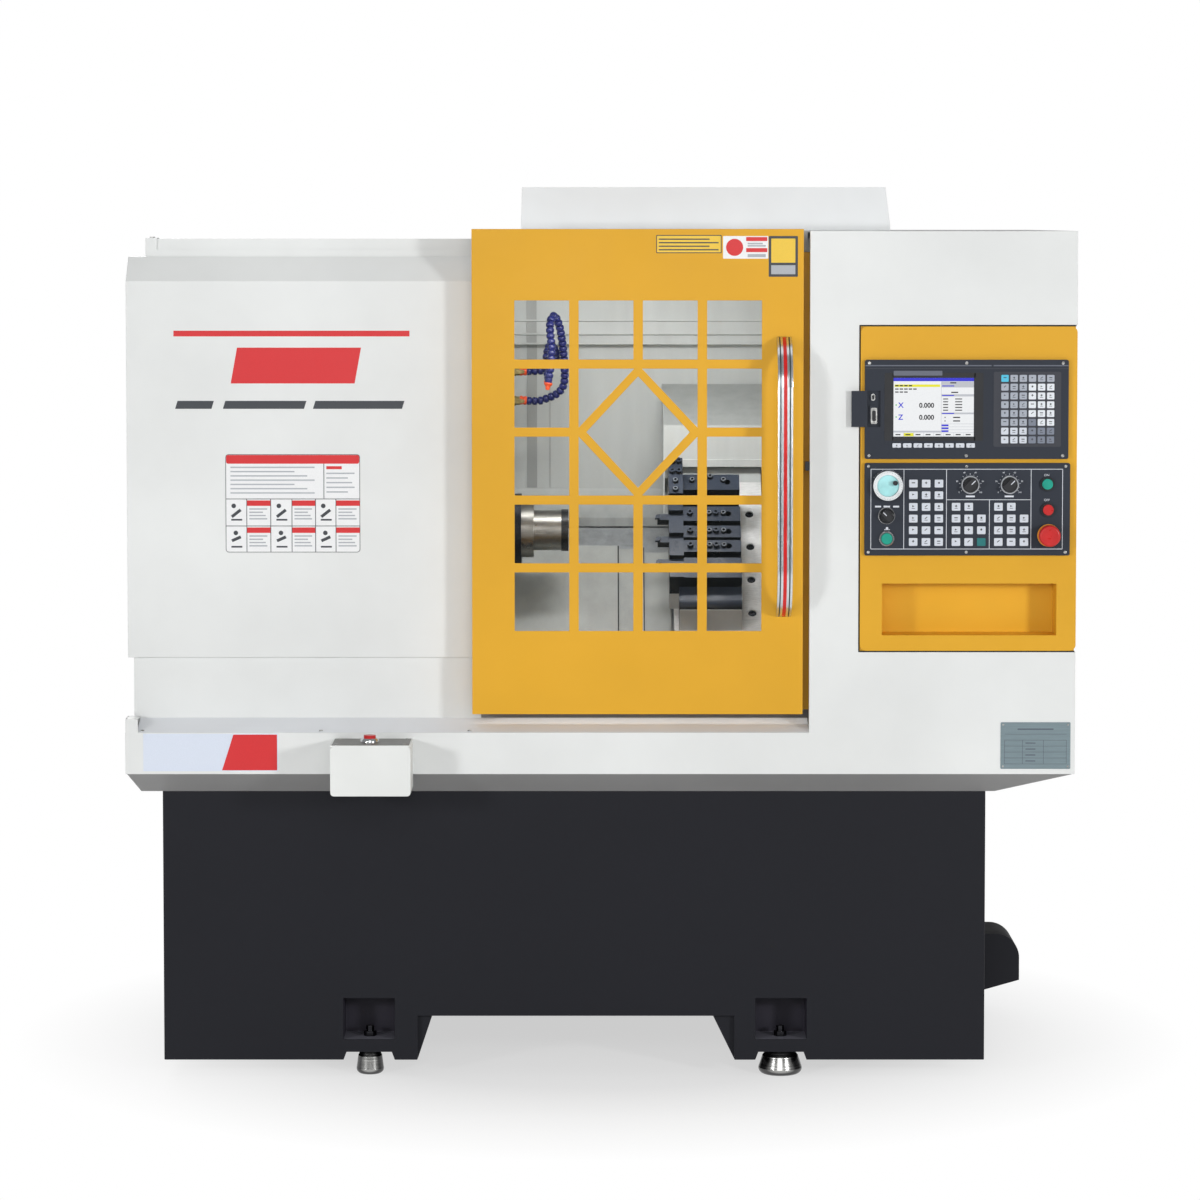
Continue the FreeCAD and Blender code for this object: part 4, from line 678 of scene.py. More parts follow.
def cover_chart():
    """White chart of ruled fields with red headings on the headstock cover."""
    left, right, low, high = CHART
    split = left + CHART_SPLIT
    under = high - CHART_ROWS[0]
    red = [bar(left + 1.5, right - 1.5, high - 19, high - 1.5, 4),
           bar(split + 5, split + 36, high - 30, high - 24)]
    grey = chart_text(left + 10, split - 4, high - 25, 7, 8.6)
    grey += chart_text(split + 5, right - 6, high - 37, 5, 9.4)
    rules = [line(left, high - depth, right, high - depth, CHART_RULE) for depth in CHART_ROWS]
    rules.append(line(split, high - 19, split, under, CHART_RULE))
    rules += [line(left + x, low, left + x, under, CHART_RULE) for x in CHART_COLUMNS]
    edges = (0, *CHART_COLUMNS, right - left)
    marks = []
    for row, depth in enumerate(CHART_ROWS):
        top = high - depth
        for column in range(0, 6, 2):
            x0, x1, x2 = (left + edge for edge in edges[column:column + 3])
            red.append(bar(x1 + 0.7, x2 - 0.7, top - 14, top - 3))
            grey += chart_text(x1 + 5, x2 - 4, top - 19, 4, 6.6)
            x = (x0 + x1) / 2
            marks += [disc(x - 5 + 4 * row, top - 14, 4.6, 20),
                      line(x - 9, top - 36 + 6 * row, x + 9, top - 22, 6),
                      line(x - 10, top - 42, x + 12, top - 42, 3.4)]
    plates("chart_edge", "print_dark", [bar(left, right, low, high, 6)], COVER_FRONT,
           slot="white_paint")
    plates("chart_sheet", "print_white",
           [bar(left + 1.2, right - 1.2, low + 1.2, high - 1.2, 5)], COVER_FRONT - PRINT)
    front = COVER_FRONT - 2 * PRINT
    plates("chart_red", "print_red", red, front)
    plates("chart_grey", "print_grey", grey, front)
    plates("chart_rules", "print_dark", rules, front, 0.8 * PRINT)
    plates("chart_marks", "print_dark", marks, front)


def apron_badge():
    """Two-colour foil on the apron, pale blue with a slanting red end."""
    plates("badge_blue", "print_pale_blue", [bar(-916, -645.5, 636, 712)])
    plates("badge_red", "print_red", [[(-758, 638), (-647.5, 638), (-647.5, 710), (-735, 710)]],
           FRONT - PRINT)


RATING = (803, 943, 641, 735)


def rating_plate():
    """Blank metal plate with engraved rules and a rivet in each corner."""
    left, right, low, high = RATING
    inks["rating"] = ("stainless", brushed("rating_metal", (122, 140, 146), 0.42, metallic=0.1))
    plates("rating_plate", "rating", [bar(*RATING, 2)], thickness=1)
    rules = [line(left + 8, z, right - 8, z, 0.9) for z in range(low + 10, low + 71, 12)]
    rules += [line(x, low + 10, x, low + 58, 0.9)
              for x in (left + 8, left + 44, left + 86, right - 8)]
    rules.append(line(left + 34, low + 80, right - 34, low + 80, 3))
    rules += [line(left + 50, z, left + 70, z, 2.2) for z in range(low + 16, low + 53, 12)]
    plates("rating_rules", "print_rule", rules, FRONT - 1, 0.15)
    corners = [at(x, FRONT - 1, z) for x in (left + 5, right - 5) for z in (low + 5, high - 5)]
    screws("rating_rivets", corners, OUT, 2.2, 0.9)


# Layers of the three small plates in the sliding door's upper right corner.
DOOR_LABELS = (
    ("edges", "dark", 0, PRINT, ((112, 242, 1674, 1710, 1.5), (336, 394, 1627, 1708, 1.5))),
    ("white", "white", 0, PRINT, ((245, 335, 1663, 1708, 1.5),)),
    ("yellow", "yellow", 1, PRINT, ((113.6, 240.4, 1675.6, 1708.4, 1), (341, 389, 1655, 1703, 1))),
    ("red", "red", 1, PRINT, ((291, 333, 1698, 1706), (291, 333, 1676, 1684),
                              (268, 1685.5, 17))),
    ("grey", "grey", 1, PRINT, ((294, 330, 1687, 1690), (294, 324, 1691.5, 1694.5),
                                (294, 330, 1666, 1672), (341, 389, 1632, 1650))),
    ("ink", "dark", 2, PRINT / 2, [(117, 236 - 18 * (k % 2), 1679.5 + 7 * k, 1682 + 7 * k)
                                   for k in range(4)]))

cover_stripes()
cover_chart()
apron_badge()
rating_plate()
for name, tone, layer, thickness, fields in DOOR_LABELS:
    fields = [bar(*field) if len(field) > 3 else disc(*field) for field in fields]
    plates("door_label_" + name, "print_" + tone, fields, FRONT - PRINT * layer, thickness, "door")


# ---- display unit

PANEL_FACE = -10           # depth of the display's and the control panel's front faces
KEY_TOP = -11              # depth of the raised keys' tops
KEY_CAP = 0.5              # thickness of a printed key cap
MARK = 0.1                 # thickness of a legend or a field of the screen


def key_outline(x, z, width, height):
    return bar(x - width / 2 + 0.4, x + width / 2 - 0.4, z - height / 2 + 0.4,
               z + height / 2 - 0.4, 1.6)


# Bars of a legend, as parts of its size from the key's middle; the other kinds are drawn apart.
LEGENDS = {0: ((-0.28, 0.28, -0.07, 0.09),),
           3: ((-0.07, 0.07, -0.2, 0.2), (-0.2, 0.2, -0.06, 0.06))}


def legend(x, z, index, size):
    """A small mark on a key: one of a few plain shapes, and a short line under some."""
    kind = index % 5
    high = z + size * 0.12
    marks = [bar(x + size * x0, x + size * x1, high + size * z0, high + size * z1)
             for x0, x1, z0, z1 in LEGENDS.get(kind, ())]
    if kind == 1:
        marks.append(disc(x, high, size * 0.17, 12))
    elif kind == 2:
        marks.append(line(x - size * 0.2, high - size * 0.16, x + size * 0.2, high + size * 0.16,
                          size * 0.13))
    elif kind == 4:
        marks.append([(x - size * 0.18, high - size * 0.16), (x + size * 0.2, high),
                      (x - size * 0.18, high + size * 0.16)])
    if index % 3:
        marks.append(bar(x - size * 0.26, x + size * 0.26, z - size * 0.3, z - size * 0.21))
    return marks


SOFT_KEYS = [(591.6 + 21.06 * k, 1291.2) for k in range(8)]
NUMBER_KEYS = [(806.8 + 18.24 * column, 1425 - 17.54 * row, column, row)
               for row in range(8) for column in range(6)]


def number_key_shade(column, row):
    if row == 0:
        return "cyan" if column == 0 else "mid"
    if column > 2 and row > 5 or (column, row) == (3, 5):
        return "dark"
    if column > 2:
        return "white"
    return "light" if row > 5 else "mid"


def display_keys():
    for tone in ("cyan", "mid", "dark", "white", "light"):
        plates("number_keys_" + tone, "key_" + tone,
               [key_outline(x, z, 15.4, 14.6) for x, z, column, row in NUMBER_KEYS
                if number_key_shade(column, row) == tone], KEY_TOP, KEY_CAP)
    plates("soft_keys", "key_light", [key_outline(x, z, 17.8, 9.6) for x, z in SOFT_KEYS],
           KEY_TOP, KEY_CAP)
    marks = []
    for index, (x, z, column, row) in enumerate(NUMBER_KEYS):
        marks += legend(x, z, index * 7 + column, 11)
    for index, (x, z) in enumerate(SOFT_KEYS):
        marks += legend(x, z - 1, index * 3 + 1, 8.5)
    plates("display_key_marks", "print_dark", marks, KEY_TOP - KEY_CAP, MARK)


# Name, finish, distance in front of the face, thickness and bars of the display's flat trim.
DISPLAY_TRIM = (
    ("screen_bezel", "black_plastic", 0, 0.4,
     ((567, 584.5, 1300.5, 1436, 2), (746, 764, 1300.5, 1436, 2),
      (583, 748, 1426.5, 1436), (583, 748, 1300.5, 1308))),
    ("keypad_field", "panel_dark", 0, 0.4, ((784.5, 919, 1288.5, 1438, 3),)),
    ("screen_tab", "panel_light", 0.4, 0.2, ((585, 682, 1430.5, 1440, 1),)),
    # the groove across the display is drawn as a painted highlight line over a painted shade line
    ("display_groove_highlight", "panel_light", 0, 0.15,
     ((528.6, 780, 1449.2, 1451.4), (784, 933.4, 1449.2, 1451.4))),
    ("display_groove_shade", "panel_dark", 0, 0.12, ((528.6, 933.4, 1443.6, 1445.2),)))

# The same for the port: its shell, dark core and small round port, from the recess's floor.
PORT_FLOOR = -3
PORT_TRIM = (
    ("port_shell", "foot_steel", 3.6, 1.2, ((540, 552.5, 1334, 1366, 2.5),)),
    ("port_core", "black_plastic", 4.8, 0.6, ((542.6, 549.8, 1339.5, 1360.5, 2.5),)),
    ("port_ring", "foot_steel", 2.8, 0.6, ((540.6, 548.6, 1380, 1394, 3.8),)),
    ("port_hole", "black_plastic", 3.4, 0.4, ((542.4, 546.8, 1382.5, 1391.5, 2),)))


def flat_trim(face, rows):
    for name, tone, proud, thickness, bars in rows:
        plates(name, tone, [bar(*row) for row in bars], face - proud, thickness)


def display_trim():
    flat_trim(PANEL_FACE, DISPLAY_TRIM)
    corners = [at(x, PANEL_FACE, z) for x in (536.6, 730.6, 922.8) for z in (1455.3, 1270.6)]
    screws("display_screws", corners, OUT, 3.4, 1.4, head=socket_head)
    flat_trim(PORT_FLOOR, PORT_TRIM)
    ends = [at(546.2, PORT_FLOOR - 4.8, z) for z in (1337.2, 1362.9)]
    screws("port_screws", ends, OUT, 1.7, 0.8)


def add_text(name, words, size, x, z, front, tone, bold=0):
    """Flat figures whose lower left corner is at (x, z)."""
    curve = bpy.data.curves.new(name, "FONT")
    curve.body = words
    curve.size = size * MM
    curve.extrude = 0.05 * MM
    curve.offset = bold * MM
    curve.resolution_u = 3
    item = link(bpy.data.objects.new(name + "_outline", curve))
    bpy.context.view_layer.update()
    mesh = bpy.data.meshes.new_from_object(item.evaluated_get(
        bpy.context.evaluated_depsgraph_get()))
    bpy.data.objects.remove(item)
    mesh.transform(Matrix.Translation(at(x, front, z)) @ Matrix.Rotation(math.pi / 2, 4, "X"))
    slot, finish = inks[tone]
    piece(name, mesh, "frame", slot, finish)


SCREEN_FLOOR = -7
SCREEN = (585.2, 745.3, 1308.8, 1425.7)
SCREEN_SPLIT = 680         # from here to the right the screen shows a column of boxes


def screen():
    """The lit picture: title bar, program lines, two read-outs and a column of boxes."""
    left, right, low, high = SCREEN
    split = SCREEN_SPLIT
    over = SCREEN_FLOOR - PRINT
    plates("screen_field", "screen_white", [bar(*SCREEN)], SCREEN_FLOOR)
    grey = [bar(split, right, high - bottom, high - top)
            for bottom, top in ((19, 7), (37, 32.5), (72.5, 69))]
    grey += [bar(left, split, low + 8, low + 11.5), bar(split, split + 0.7, low, high - 7)]
    grey += [bar(split, right, low + 7.5 + 5.8 * k, low + 8.1 + 5.8 * k) for k in range(4)]
    grey += [bar(left + 20 * k, left + 20 * k + 0.6, low, low + 8) for k in range(1, 8)]
    plates("screen_grey", "screen_grey", grey, over, MARK)
    blue = [bar(left, right, high - 6.6, high)]
    blue += [bar(split + 1, split + 15, low + 9 + 5.8 * k, low + 12.4 + 5.8 * k)
             for k in range(3)]
    blue += [bar(split + 2, split + 26, z, z + 2) for z in (high - 17, high - 36, high - 71.8)]
    plates("screen_blue", "screen_blue", blue, over - MARK, MARK)
    plates("screen_yellow", "screen_yellow", [bar(left + 2, split - 2, high - 18, high - 13),
                                              bar(left + 20.6, left + 40, low + 0.6, low + 7)],
           over, MARK)
    texts = [bar(left + 3 + 9 * k, left + 10 + 9 * k, high - bottom, high - top)
             for bottom, top, words in ((16.8, 14.2, 4), (23.4, 21, 5), (29.4, 27, 3))
             for k in range(words)]
    texts += [bar(left + 4 + 20 * k, left + 14 + 20 * k, low + 2.6, low + 4.8) for k in range(8)]
    rows = [(18, 30, 11, 2.4), (20, 34, 30, 2.4)]
    for row in range(5):
        rows += [(4, 14, 43 + 5.6 * row, 2), (28, 42, 43 + 5.6 * row, 2)]
    for row in range(2):
        rows += [(7, 9, 80 + 7 * row, 2.4), (24, 38, 80 + 7 * row, 2.4)]
    texts += [bar(split + x0, split + x1, high - bottom, high - bottom + tall)
              for x0, x1, bottom, tall in rows]
    plates("screen_marks", "screen_ink", texts, over - MARK, 0.08)
    plates("screen_dots", "screen_green", [disc(left + 5.2, high - depth, 1.4, 12)
                                           for depth in (54, 78)], over, MARK)
    for axis, z in (("X", high - 59.2), ("Z", high - 83.2)):
        add_text("screen_axis_" + axis, axis, 14.5, left + 9.5, z, over - MARK, "screen_blue", 0.3)
        add_text("screen_value_" + axis, "0.000", 13.5, left + 51, z, over - MARK, "screen_ink",
                 0.4)


display_keys()
display_trim()
screen()


# ---- control panel

JOG_KEYS = [(625.2 + 25.5 * column, 1215 - 23.36 * row)
            for row in range(6) for column in range(3)]
MODE_KEYS, TOOL_KEYS = [[(left + pitch * column, 1168.6 - 23.5 * row)
                         for row in range(4) for column in range(3) if row or column < 2]
                        for left, pitch in ((710.6, 25.3), (795.2, 25.6))]
TEAL_KEY = MODE_KEYS[-1]

# Place and radius of what is turned or pressed on the panel.
POWER_ON = (892.4, 1214, 13.8)
POWER_OFF = (894, 1162.6, 13.8)
CYCLE_START = (572.2, 1105, 14.2)
STOP_BUTTON = (894.4, 1112)    # middle of the collar under the emergency stop
MODE_SWITCH = (572.2, 1150.4, 14.8)
FEED_SWITCH = (738.6, 1212.8, 18)
SPEED_SWITCH = (817, 1212.8, 18)
HAND_WHEEL = (574, 1211.2, 29.4)
OVERRIDES = (("feed", FEED_SWITCH), ("speed", SPEED_SWITCH))
KNOB_FRONT = -30.3         # depth of the rotary knobs' front faces
WHEEL_FRONT = -26.3        # depth of the handwheel's front face
WHEEL_DISH = -23.3         # depth of the floor inside its rim
LINE = 0.12                # thickness of the printed lines
LINE_WIDTH = 1.2
LINES = (540.6, 923, 1084, 1243.6)
SHELF = 1182.6             # height of the line between the switches and the keys under them


def control_keys():
    keys = [place for place in JOG_KEYS + MODE_KEYS + TOOL_KEYS if place != TEAL_KEY]
    for name, tone, places in (("control_keys", "key_light", keys),
                               ("control_key_teal", "key_teal", [TEAL_KEY])):
        plates(name, tone, [key_outline(x, z, 17.8, 16.4) for x, z in places], KEY_TOP, KEY_CAP)
    marks = []
    for index, (x, z) in enumerate(keys):
        marks += legend(x, z, index * 3 + index // 4, 12)
    plates("control_key_marks", "print_dark", marks, KEY_TOP - KEY_CAP, MARK)


def control_lines():
    left, right, low, high = LINES
    rules = [(left, low, right, low), (left, high, right, high), (left, low, left, high),
             (right, low, right, high), (691.4, SHELF, 860.2, SHELF)]
    rules += [(x, low, x, top) for x, top in ((606.4, high), (691.4, high), (777.2, SHELF),
                                              (860.2, high))]
    lines = [line(*rule, LINE_WIDTH) for rule in rules]
    lines += [bar(x - 9, x + 9, 1187.6, 1191) for x in (739, 816.6)]
    lines += [bar(x0, x1, 1167.2, 1170.6) for x0, x1 in ((549, 561), (566, 579), (585, 597))]
    lines += [disc(573, 1125.4, 2.6, 16), bar(567.5, 578.5, 1122, 1123.2)]
    plates("control_lines", "line_white", lines, PANEL_FACE, LINE)
    corners = [at(x, PANEL_FACE, z) for x in (535.6, 731.4, 929) for z in (1249.6, 1077.6)]
    screws("control_screws", corners, OUT, 3.2, 1.2)
    for words, z in (("ON", 1229.6), ("OFF", 1179.8)):
        add_text("mark_" + words.lower(), words, 6.6, 886, z, PANEL_FACE - MARK, "line_white")


def dial_marks():
    """Ticks and figures round the two override switches and over the handwheel."""
    ticks = []
    for name, (x, z, radius) in OVERRIDES:
        ticks += [spoke(x, z, radius + 1.6, radius + (3.2 if k % 2 else 4.4),
                        250 * k / 12 - 35, 0.8) for k in range(13)]
        for k in range(6):
            words = str(20 * k)
            right, up = around(x, z, radius + 8.6, 215 - 50 * k)
            add_text(f"{name}_figure_{words}", words, 4.4, right - 1.4 * len(words), up - 1.6,
                     PANEL_FACE - MARK, "line_white")
    x, z, radius = HAND_WHEEL
    ticks += [spoke(x, z, radius + 0.6, radius + (1.8 if k % 4 else 2.8), 30 + 5 * k, 0.5)
              for k in range(25)]
    plates("dial_ticks", "line_white", ticks, PANEL_FACE, LINE)


def annulus(inner, outer, low, high, edge=0.5):
    """Section of a flat ring with eased outer and inner top edges."""
    return [(inner, low), (inner, high - edge), (inner + edge, high), (outer - edge, high),
            (outer, high - edge), (outer, low), (inner, low)]


def knob_pointer(name, place, body, degrees, radius):
    """White pointer on a knob's front face, from its middle towards its rim."""
    plates(name + "_pointer", "line_white", [spoke(*place[:2], 2, radius, degrees, 1.8)],
           KNOB_FRONT, 0.2, body)


def ring(name, place, inner, outer, height, slot="black_plastic"):
    """Ring on the panel round a button; inner and outer count from the button's radius."""
    x, z, radius = place
    turned(name, at(x, PANEL_FACE, z), OUT, annulus(radius + inner, radius + outer, 0, height),
           "frame", slot)


def switch_trim():
    """Rings round the switches and buttons, and the pointers on the three knobs."""
    silver = ground_steel("switch_silver", (206, 209, 214), 0.34)
    for name, place in OVERRIDES:
        x, z, radius = place
        turned(name + "_skirt", at(x, PANEL_FACE - 0.3, z), OUT,
               annulus(radius * 0.84, radius + 0.3, 0.1, 8.6, 1), name + "_knob",
               "machined_steel", silver)
        knob_pointer(name, place, name + "_knob", 45, radius * 0.72)
    ring("mode_ring", MODE_SWITCH, 0.3, 2, 1.6, "chrome")
    knob_pointer("mode", MODE_SWITCH, "mode_selector", 135, MODE_SWITCH[2] * 0.76)
    ring("cycle_bezel", CYCLE_START, -2.6, 0.6, 5.6, "chrome")
    ring("power_on_bezel", POWER_ON, -2.6, 0.4, 5.4)
    ring("power_off_bezel", POWER_OFF, -2.6, 0.4, 5.4)
    x, z = STOP_BUTTON
    turned("stop_collar", at(x, PANEL_FACE - 9, z), OUT,
           [(9.6, 0), (21.8, 0), (22.4, 0.8), (22.4, 3.4), (21.2, 4.6), (9.6, 4.6), (9.6, 0)],
           "frame", "yellow_paint", moulded("stop_yellow", (232, 150, 44), 0.36))


def wheel_trim():
    x, z, radius = HAND_WHEEL
    turned("wheel_ring", at(x, WHEEL_FRONT, z), OUT,
           annulus(radius * 0.74, radius + 0.2, -1, 0.5, 0.4), "handwheel", "chrome",
           moulded("wheel_ivory", (226, 230, 232), 0.3))
    turned("wheel_face", at(x, WHEEL_DISH, z), OUT,
           [(radius * 0.735, 0), (radius * 0.735, 0.5), (radius * 0.6, 1), (0, 1)],
           "handwheel", "chrome", moulded("wheel_cyan", (168, 226, 228), 0.24))
    ticks = [spoke(x, z, radius * (0.88 if k % 5 else 0.84), radius * 0.95, 7.2 * k, 0.4)
             for k in range(50)]
    plates("wheel_ticks", "print_dark", ticks, WHEEL_FRONT - 0.5, 0.08, "handwheel")


control_keys()
control_lines()
dial_marks()
switch_trim()
wheel_trim()


# ---- palm box, handle, small parts

PALM = (-534, -375, 0, 113)    # the palm button's box: left, right, near and far from the sheet
PALM_TOP = 702
PALM_BUTTON = (-458.5, -56.5)


def palm_trim():
    """Dark lid foil with its corner screws, and the chrome ring round the button."""
    left, right, back, reach = PALM
    form = bmesh.new()
    add_prism(form, bar(left + 3, right - 3, back + 3, reach - 3, 3, 4), PALM_TOP, PALM_TOP + 0.5,
              lambda x, out, height: at(x, -out, height))
    lid = brushed("palm_lid", (104, 102, 98), 0.36, metallic=0.8)
    piece("palm_lid_foil", form, "frame", "stainless", lid)
    corners = [at(x, -out, PALM_TOP + 0.5) for x in (left + 12, right - 12)
               for out in (back + 12, reach - 12)]
    screws("palm_screws", corners, UP, 3.4, 1.6)
    turned("palm_ring", at(*PALM_BUTTON, PALM_TOP + 0.4), UP,
           [(12.4, 0), (12.4, 7.2), (13.2, 8), (16.6, 8), (17.6, 6.8), (19, 1.6), (19, 0),
            (12.4, 0)], "frame", "chrome")


HANDLE_X = 367
HANDLE_BOTTOM = 947
HANDLE_TOP = 1508
HANDLE_REACH = 78
HANDLE_CURVE = 98
STRIPE_WIDTH = 7
SHADE_LINE_REACH = 9.4         # from the handle's middle to a painted shade line
SHADE_LINE_WIDTH = 2.6
CURVE_STEPS = 20


def handle_strip(name, middle_x, width, proud, slot, finish):
    """Narrow strip that follows the outer face of the bow handle."""
    radius = (HANDLE_REACH ** 2 + HANDLE_CURVE ** 2) / (2 * HANDLE_REACH)
    middle = radius - HANDLE_REACH
    sweep = math.acos(middle / radius) - 0.05
    form = bmesh.new()
    rows = []
    for sign, end in ((-1, HANDLE_BOTTOM + HANDLE_CURVE), (1, HANDLE_TOP - HANDLE_CURVE)):
        for k in range(CURVE_STEPS + 1):
            turn = sweep * (1 - k / CURVE_STEPS if sign < 0 else k / CURVE_STEPS)
            y = middle - radius * math.cos(turn)
            z = end + sign * radius * math.sin(turn)
            rows.append([form.verts.new(at(middle_x + side * width / 2, y - math.cos(turn) * lift,
                                           z + sign * math.sin(turn) * lift))
                         for side, lift in ((-1, -0.4), (-1, proud), (1, proud), (1, -0.4))])
    for one, two in zip(rows, rows[1:]):
        add_sides(form, one, two)
    form.faces.new(rows[0])
    form.faces.new(rows[-1][::-1])
    piece(name, form, "door", slot, finish, 30)


def handle_inlay():
    """Red inlay along the outer face of the bow handle, between two dark strips that are painted
    shade lines.
    """
    enamel = moulded("handle_enamel", (206, 34, 34), 0.2, 2000)
    handle_strip("handle_stripe", HANDLE_X, STRIPE_WIDTH, 0.35, "red_plastic", enamel)
    shade_line = oxide_black("handle_shade_line", (70, 84, 84))
    for name, side in (("left", -1), ("right", 1)):
        handle_strip("handle_shade_line_" + name, HANDLE_X + side * SHADE_LINE_REACH, SHADE_LINE_WIDTH, 0.2,
                     "black_oxide", shade_line)


def sheet_fixings():
    """Screws in the sill and in the top rail's end, and the door's latch."""
    screws("sill_screws", [at(x, 8, 716.8) for x in (-918, -560, -262)], UP, 4, 1.8)
    screws("bracket_screws", [at(-906.5, depth, 1704) for depth in (128, 160)], UP, 4, 2,
           head=socket_head)
    plates("door_latch", "black_plastic", [bar(410, 418.6, 1240, 1258, 1.5)], 14, 12)


palm_trim()
handle_inlay()
sheet_fixings()


# ---- folded corner and seal

TRAY_END = (-951.6, -926.5)    # left and right sides of the front's raised left corner
CORNER = (700, 741)            # its bottom and top
CORNER_SHEET = 1.4
CORNER_DEPTH = (0, 59)         # from the front sheet to where it meets the headstock cover


def raised_corner():
    """The front sheet's left corner, raised and folded back beside the drip tray."""
    left, top = TRAY_END[0], CORNER[1]
    boxes("raised_corner", [(TRAY_END, (-0.4, CORNER_SHEET), CORNER),
                            ((left, left + CORNER_SHEET), CORNER_DEPTH, CORNER),
                            (TRAY_END, CORNER_DEPTH, (top - CORNER_SHEET, top))],
          "frame", "white_paint")


BOX = (520, 950, 879, 1528)    # the operator box's sides, bottom and top
BOX_GAP = 3
GAP_SHADE_DEPTH = (1.2, 2.7)


def box_gap_shade():
    """Black strips in the gap round the operator box: painted shade in the gap."""
    left, right, low, high = BOX
    boxes("box_gap_shade", [
        ((left - BOX_GAP, left - 0.2), GAP_SHADE_DEPTH, (low - BOX_GAP, high + BOX_GAP)),
        ((left, right), GAP_SHADE_DEPTH, (high + 0.2, high + BOX_GAP)),
        ((left, right), GAP_SHADE_DEPTH, (low - BOX_GAP, low - 0.2))], "frame", "rubber_black")


# ---- table and tool blocks

SLANT = math.radians(45)
SLANT_OUT = (0, -math.sin(SLANT), math.cos(SLANT))
TABLE = (463, 1026)            # depth and height of the middle of the table's top face
BLOCK_TOP = 100                # from the table to the tool blocks' top faces
BLOCK_SIDES = (174.5, 294.5)
ROW_MIDDLES = (39, -10, -50)
TABLE_SIDES = (155, 345)
TABLE_SCREW_X = (182, 318)
COVER_SPAN = (-299, 74)        # along the slant, the telescopic way covers
COVER_LEVEL = -45              # the fixed cover's top face, out from the table
COVER_STEP = 5.3
LIP_FIXED = 40
LIP_MIDDLE = 94
FOLD = (-160.5, -138.5)
SEAM = (-111.5, -108.5)
WALL_STEPS = ((1152, 1467, 847), (1472, 1489, 807), (1494, 1518, 793),
              (1523, 1628, 788))   # bottom, top and depth of the back wall's faces
SPINDLE = (400, 1091)          # depth and height of the spindle's axis
NOSE_RING = (-81, 14.8)        # left end and length of the nose's end ring
NOSE_RADIUS = 43.9


def on_slant(x, along, out):
    """Place on the slant bed: along its slope and out from the table's top face."""
    return at(x, TABLE[0] + along * math.cos(SLANT) - out * math.sin(SLANT),
              TABLE[1] + along * math.sin(SLANT) + out * math.cos(SLANT))


def table_fittings():
    """Screws in the table and the tool blocks, the blocks' feet and the table's lower strip."""
    places = [on_slant(x, -149 + 91 * k, -5.4) for x in TABLE_SCREW_X for k in range(4)]
    screws("table_screws", places, SLANT_OUT, 8.6, 4.6, "cross_slide", "black_oxide",
           oxide_black("screw_black", (30, 33, 40)), socket_head)
    left, right = BLOCK_SIDES
    spots = [(left + x, along, BLOCK_TOP) for along in ROW_MIDDLES for x in (54, 84)]
    spots += [(left + x, along, BLOCK_TOP) for x, along in ((20, 131), (58, 141), (86, 131))]
    spots += [(left - 16, along, BLOCK_TOP + 25) for along in (84, 108)]
    heads = [on_slant(*spot) for spot in spots]
    screws("block_screws", heads, SLANT_OUT, 6.4, 6, "cross_slide", "black_oxide",
           oxide_black("head_black", (34, 38, 46)), socket_head)
    screws("screw_rims", [head + Vector(SLANT_OUT) * 6.05 * MM for head in heads], SLANT_OUT,
           5, 0.3, "cross_slide", "machined_steel", moulded("rim_grey", (116, 122, 130), 0.5), rim)
    boxes("block_feet", [((left - 9.9, right), (-194.9, -194.3), (0, 66)),
                         ((left - 29.9, left - 10.1), (-136.9, -136.3), (0, 48))], "cross_slide",
          "inner_sheet", wiped_paint("feet_sheet", (196, 198, 196), 0.95), on_slant)
    boxes("table_apron", [(TABLE_SIDES, (215, 258), (-2, -0.2))], "cross_slide", "inner_sheet",
          place=on_slant)


def cover_lips():
    """Dark rubber lips on the ends of the fixed and the middle way cover, which also stand in for
    the shade at the covers' steps (painted shade).
    """
    rubber = moulded("lip_rubber", (40, 42, 44), 0.6)
    for name, body, end, width, level, proud in (
            ("fixed", "frame", LIP_FIXED, 2.6, COVER_LEVEL, 0.4),
            ("middle", "middle_cover", LIP_MIDDLE, 2, COVER_LEVEL - COVER_STEP, 0.15)):
        boxes("cover_lip_" + name, [((end - width, end), COVER_SPAN, (level, level + proud))],
              body, "rubber_black", rubber, on_slant)


def wall_folds():
    """Darker strips on the back wall: painted shade of an upright fold in its sheet and of the
    seam beside it.
    """
    low, high, depth = WALL_STEPS[0]
    for name, tone, rows in (
            ("wall_fold", ("fold_shade", (166, 168, 166)),
             [(FOLD, (depth - 0.6, depth), (low, high)) for low, high, depth in WALL_STEPS]),
            ("wall_seam", ("seam_shade", (180, 182, 180)),
             [(SEAM, (depth - 0.5, depth), (low, high - 90))])):
        boxes(name, rows, "frame", "inner_sheet", wiped_paint(*tone, 0.96))


def nose_ring():
    """Blackened clamping ring round the end of the spindle's nose."""
    left, length = NOSE_RING
    inner = NOSE_RADIUS - 1
    form = bmesh.new()
    add_turned(form, at(left, *SPINDLE), RIGHT,
               [(inner, 0.2), (NOSE_RADIUS, 0.2), (NOSE_RADIUS, length), (inner, length),
                (inner, 0.2)], 64)
    piece("nose_ring", form, "spindle", "black_oxide", oxide_black("nose_black", (48, 48, 50)), 35)


raised_corner()
box_gap_shade()
table_fittings()
cover_lips()
wall_folds()
nose_ring()


# ---- coolant hoses

